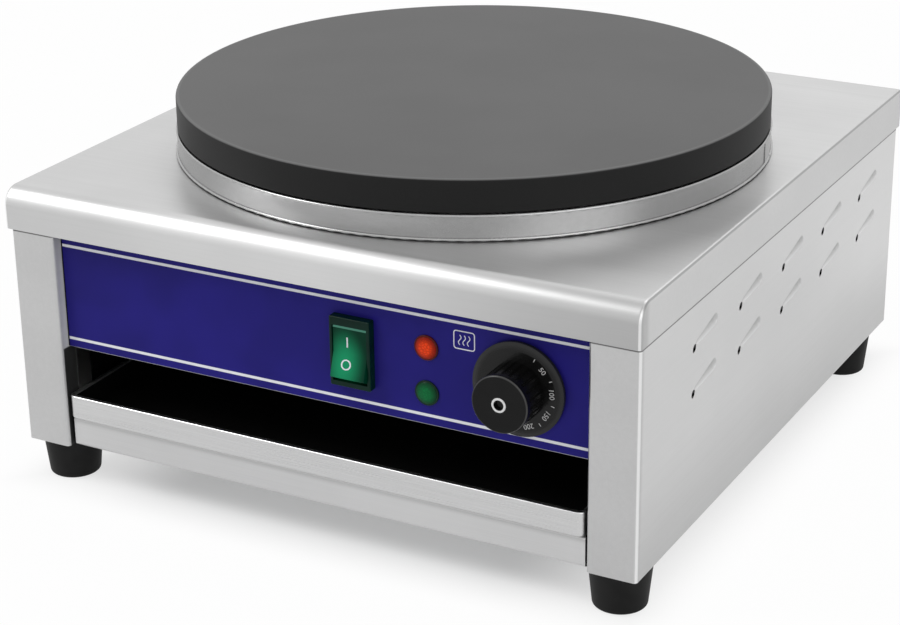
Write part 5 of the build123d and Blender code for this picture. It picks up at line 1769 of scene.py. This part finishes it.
# ---------------------------------------------------------------- studio
@dataclass
class Studio:
    """Pale floor, soft lamps, white surroundings and the camera.

    Lamps and camera are placed in metres and turned in degrees. The footprint and the spans round it are in
    millimetres. A lift is the share of plain white that the floor shows the camera.
    """

    camera_place: tuple[float, float, float] = (0.706984, -1.342830, 0.704419)
    yaw: float = 28.529
    pitch: float = -22.478
    roll: float = -0.742
    lens: float = 93.28
    sensor: float = 36.0
    view_end: float = 50.0
    floor_size: float = 12.0
    floor_z: float = -0.0002
    floor_tones: Span = (0.84, 0.86)
    floor_cloud: Noise = Noise(0.004)
    # Painted light on the floor: the shadow is kept under the object and lifted out towards the sides and
    # beyond.
    shadow_lift: float = 0.30
    side_lift: float = 0.62
    open_lift: float = 0.97
    footprint: Span = (225.0, 231.0)
    open_reach: Span = (-40.0, 25.0)
    side_reach: Span = (-110.0, -25.0)
    floor_gloss: float = 0.40
    ambient: float = 0.42
    lamps: tuple[tuple[str, tuple[float, float, float], float, float], ...] = (
        ("key_lamp", (-1.85, -1.2, 2.2), 1.2, 32.0),
        ("fill_lamp", (1.9, -0.9, 1.5), 1.6, 12.0),
        ("rear_lamp", (0.2, 1.2, 2.6), 1.4, 12.0),
    )
    aim: tuple[float, float, float] = (0.0, 0.0, 0.12)

    def build(self) -> None:
        """Builds the surroundings."""
        self.view()
        self.floor()
        self.world()
        for name, place, size, power in self.lamps:
            self.lamp(name, place, size, power)
        bpy.context.scene.view_settings.view_transform = "Standard"

    def view(self) -> None:
        """Sets the camera."""
        yaw, pitch, roll = (math.radians(value) for value in (self.yaw, self.pitch, self.roll))
        forward = Vector((-math.sin(yaw) * math.cos(pitch), math.cos(yaw) * math.cos(pitch), math.sin(pitch)))
        right = Vector((math.cos(yaw), math.sin(yaw), 0.0))
        up = right.cross(forward)
        across = right * math.cos(roll) + up * math.sin(roll)
        upward = up * math.cos(roll) - right * math.sin(roll)
        data = bpy.data.cameras.new("camera")
        data.lens = self.lens
        data.sensor_width = self.sensor
        data.clip_end = self.view_end
        camera = bpy.data.objects.new("camera", data)
        bpy.context.scene.collection.objects.link(camera)
        turn = Matrix((across, upward, -forward)).transposed().to_4x4()
        camera.matrix_world = Matrix.Translation(Vector(self.camera_place)) @ turn
        bpy.context.scene.camera = camera

    def floor(self) -> None:
        """Lays the floor, lifted towards white for the camera and for reflections: less under the object,
        where its shadow stays, and more towards the sides and beyond the footprint, where the lift paints the
        shadow out.
        """
        deselect()
        bpy.ops.mesh.primitive_plane_add(size=self.floor_size, location=(0.0, 0.0, self.floor_z))
        floor = bpy.context.object
        floor.name = "floor"
        settle(floor)
        graph = Graph(bpy.data.materials.new("pale_floor"))
        point, (x, y, _) = graph.place()
        cloud = graph.noise(point, self.floor_cloud)
        past_x, past_y = x.absolute() - self.footprint[0], y.absolute() - self.footprint[1]
        shadow = past_x.ramp(*self.side_reach) * (self.side_lift - self.shadow_lift) + self.shadow_lift
        lifted = past_x.math("MAXIMUM", past_y).ramp(*self.open_reach) * (self.open_lift - shadow) + shadow
        pale = graph.mix(cloud, *(grey(tone) for tone in self.floor_tones))
        plain = graph.node("ShaderNodeBsdfDiffuse", None, {"Color": pale})
        white = graph.node("ShaderNodeEmission", None, {"Color": (1.0, 1.0, 1.0, 1.0), "Strength": 1.0})
        path = graph.node("ShaderNodeLightPath")
        direct, gloss = graph.out(path, "Is Camera Ray"), graph.out(path, "Is Glossy Ray")
        lift = (direct * lifted).math("MAXIMUM", gloss * self.floor_gloss)
        shader = graph.node("ShaderNodeMixShader", None, {0: lift, 1: graph.out(plain), 2: graph.out(white)})
        dress(floor, graph.finish(graph.out(shader)))

    def world(self) -> None:
        """Sets white surroundings: full white for the camera, gloss and glass, softer for plain light."""
        graph = Graph(bpy.data.worlds.new("white_room"))
        bpy.context.scene.world = graph.owner
        path = graph.node("ShaderNodeLightPath")
        seen = graph.out(path, "Is Camera Ray").math("MAXIMUM", graph.out(path, "Is Glossy Ray"))
        seen = seen.math("MAXIMUM", graph.out(path, "Is Transmission Ray"))
        level = seen * (1.0 - self.ambient) + self.ambient
        background = graph.node("ShaderNodeBackground", None,
                                {"Color": (1.0, 1.0, 1.0, 1.0), "Strength": level})
        graph.node("ShaderNodeOutputWorld", None, {"Surface": graph.out(background)})

    def lamp(self, name: str, place: Sequence[float], size: float, power: float) -> None:
        """Adds one soft square lamp that looks at the object.

        Args:
            name: the lamp's name.
            place: where it hangs.
            size: length of its side.
            power: its power in watts.
        """
        data = bpy.data.lights.new(name, "AREA")
        data.size = size
        data.energy = power
        lamp = bpy.data.objects.new(name, data)
        bpy.context.scene.collection.objects.link(lamp)
        lamp.location = place
        lamp.rotation_euler = (Vector(self.aim) - Vector(place)).to_track_quat("-Z", "Y").to_euler()


def main() -> None:
    """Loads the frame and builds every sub-assembly."""
    logging.basicConfig(level=logging.INFO, format="%(name)s %(message)s")
    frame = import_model()
    Studio().build()
    palette = Palette()
    PackedParts(palette, frame["record"]).dress_all()
    for kind in (Housing, Griddle, UtensilTray, ControlPanel, ThermostatKnob, Feet):
        for piece in kind(palette).build():
            LOG.info("%s: %d faces", piece.name, len(piece.data.polygons))


if __name__ == "__main__":
    main()
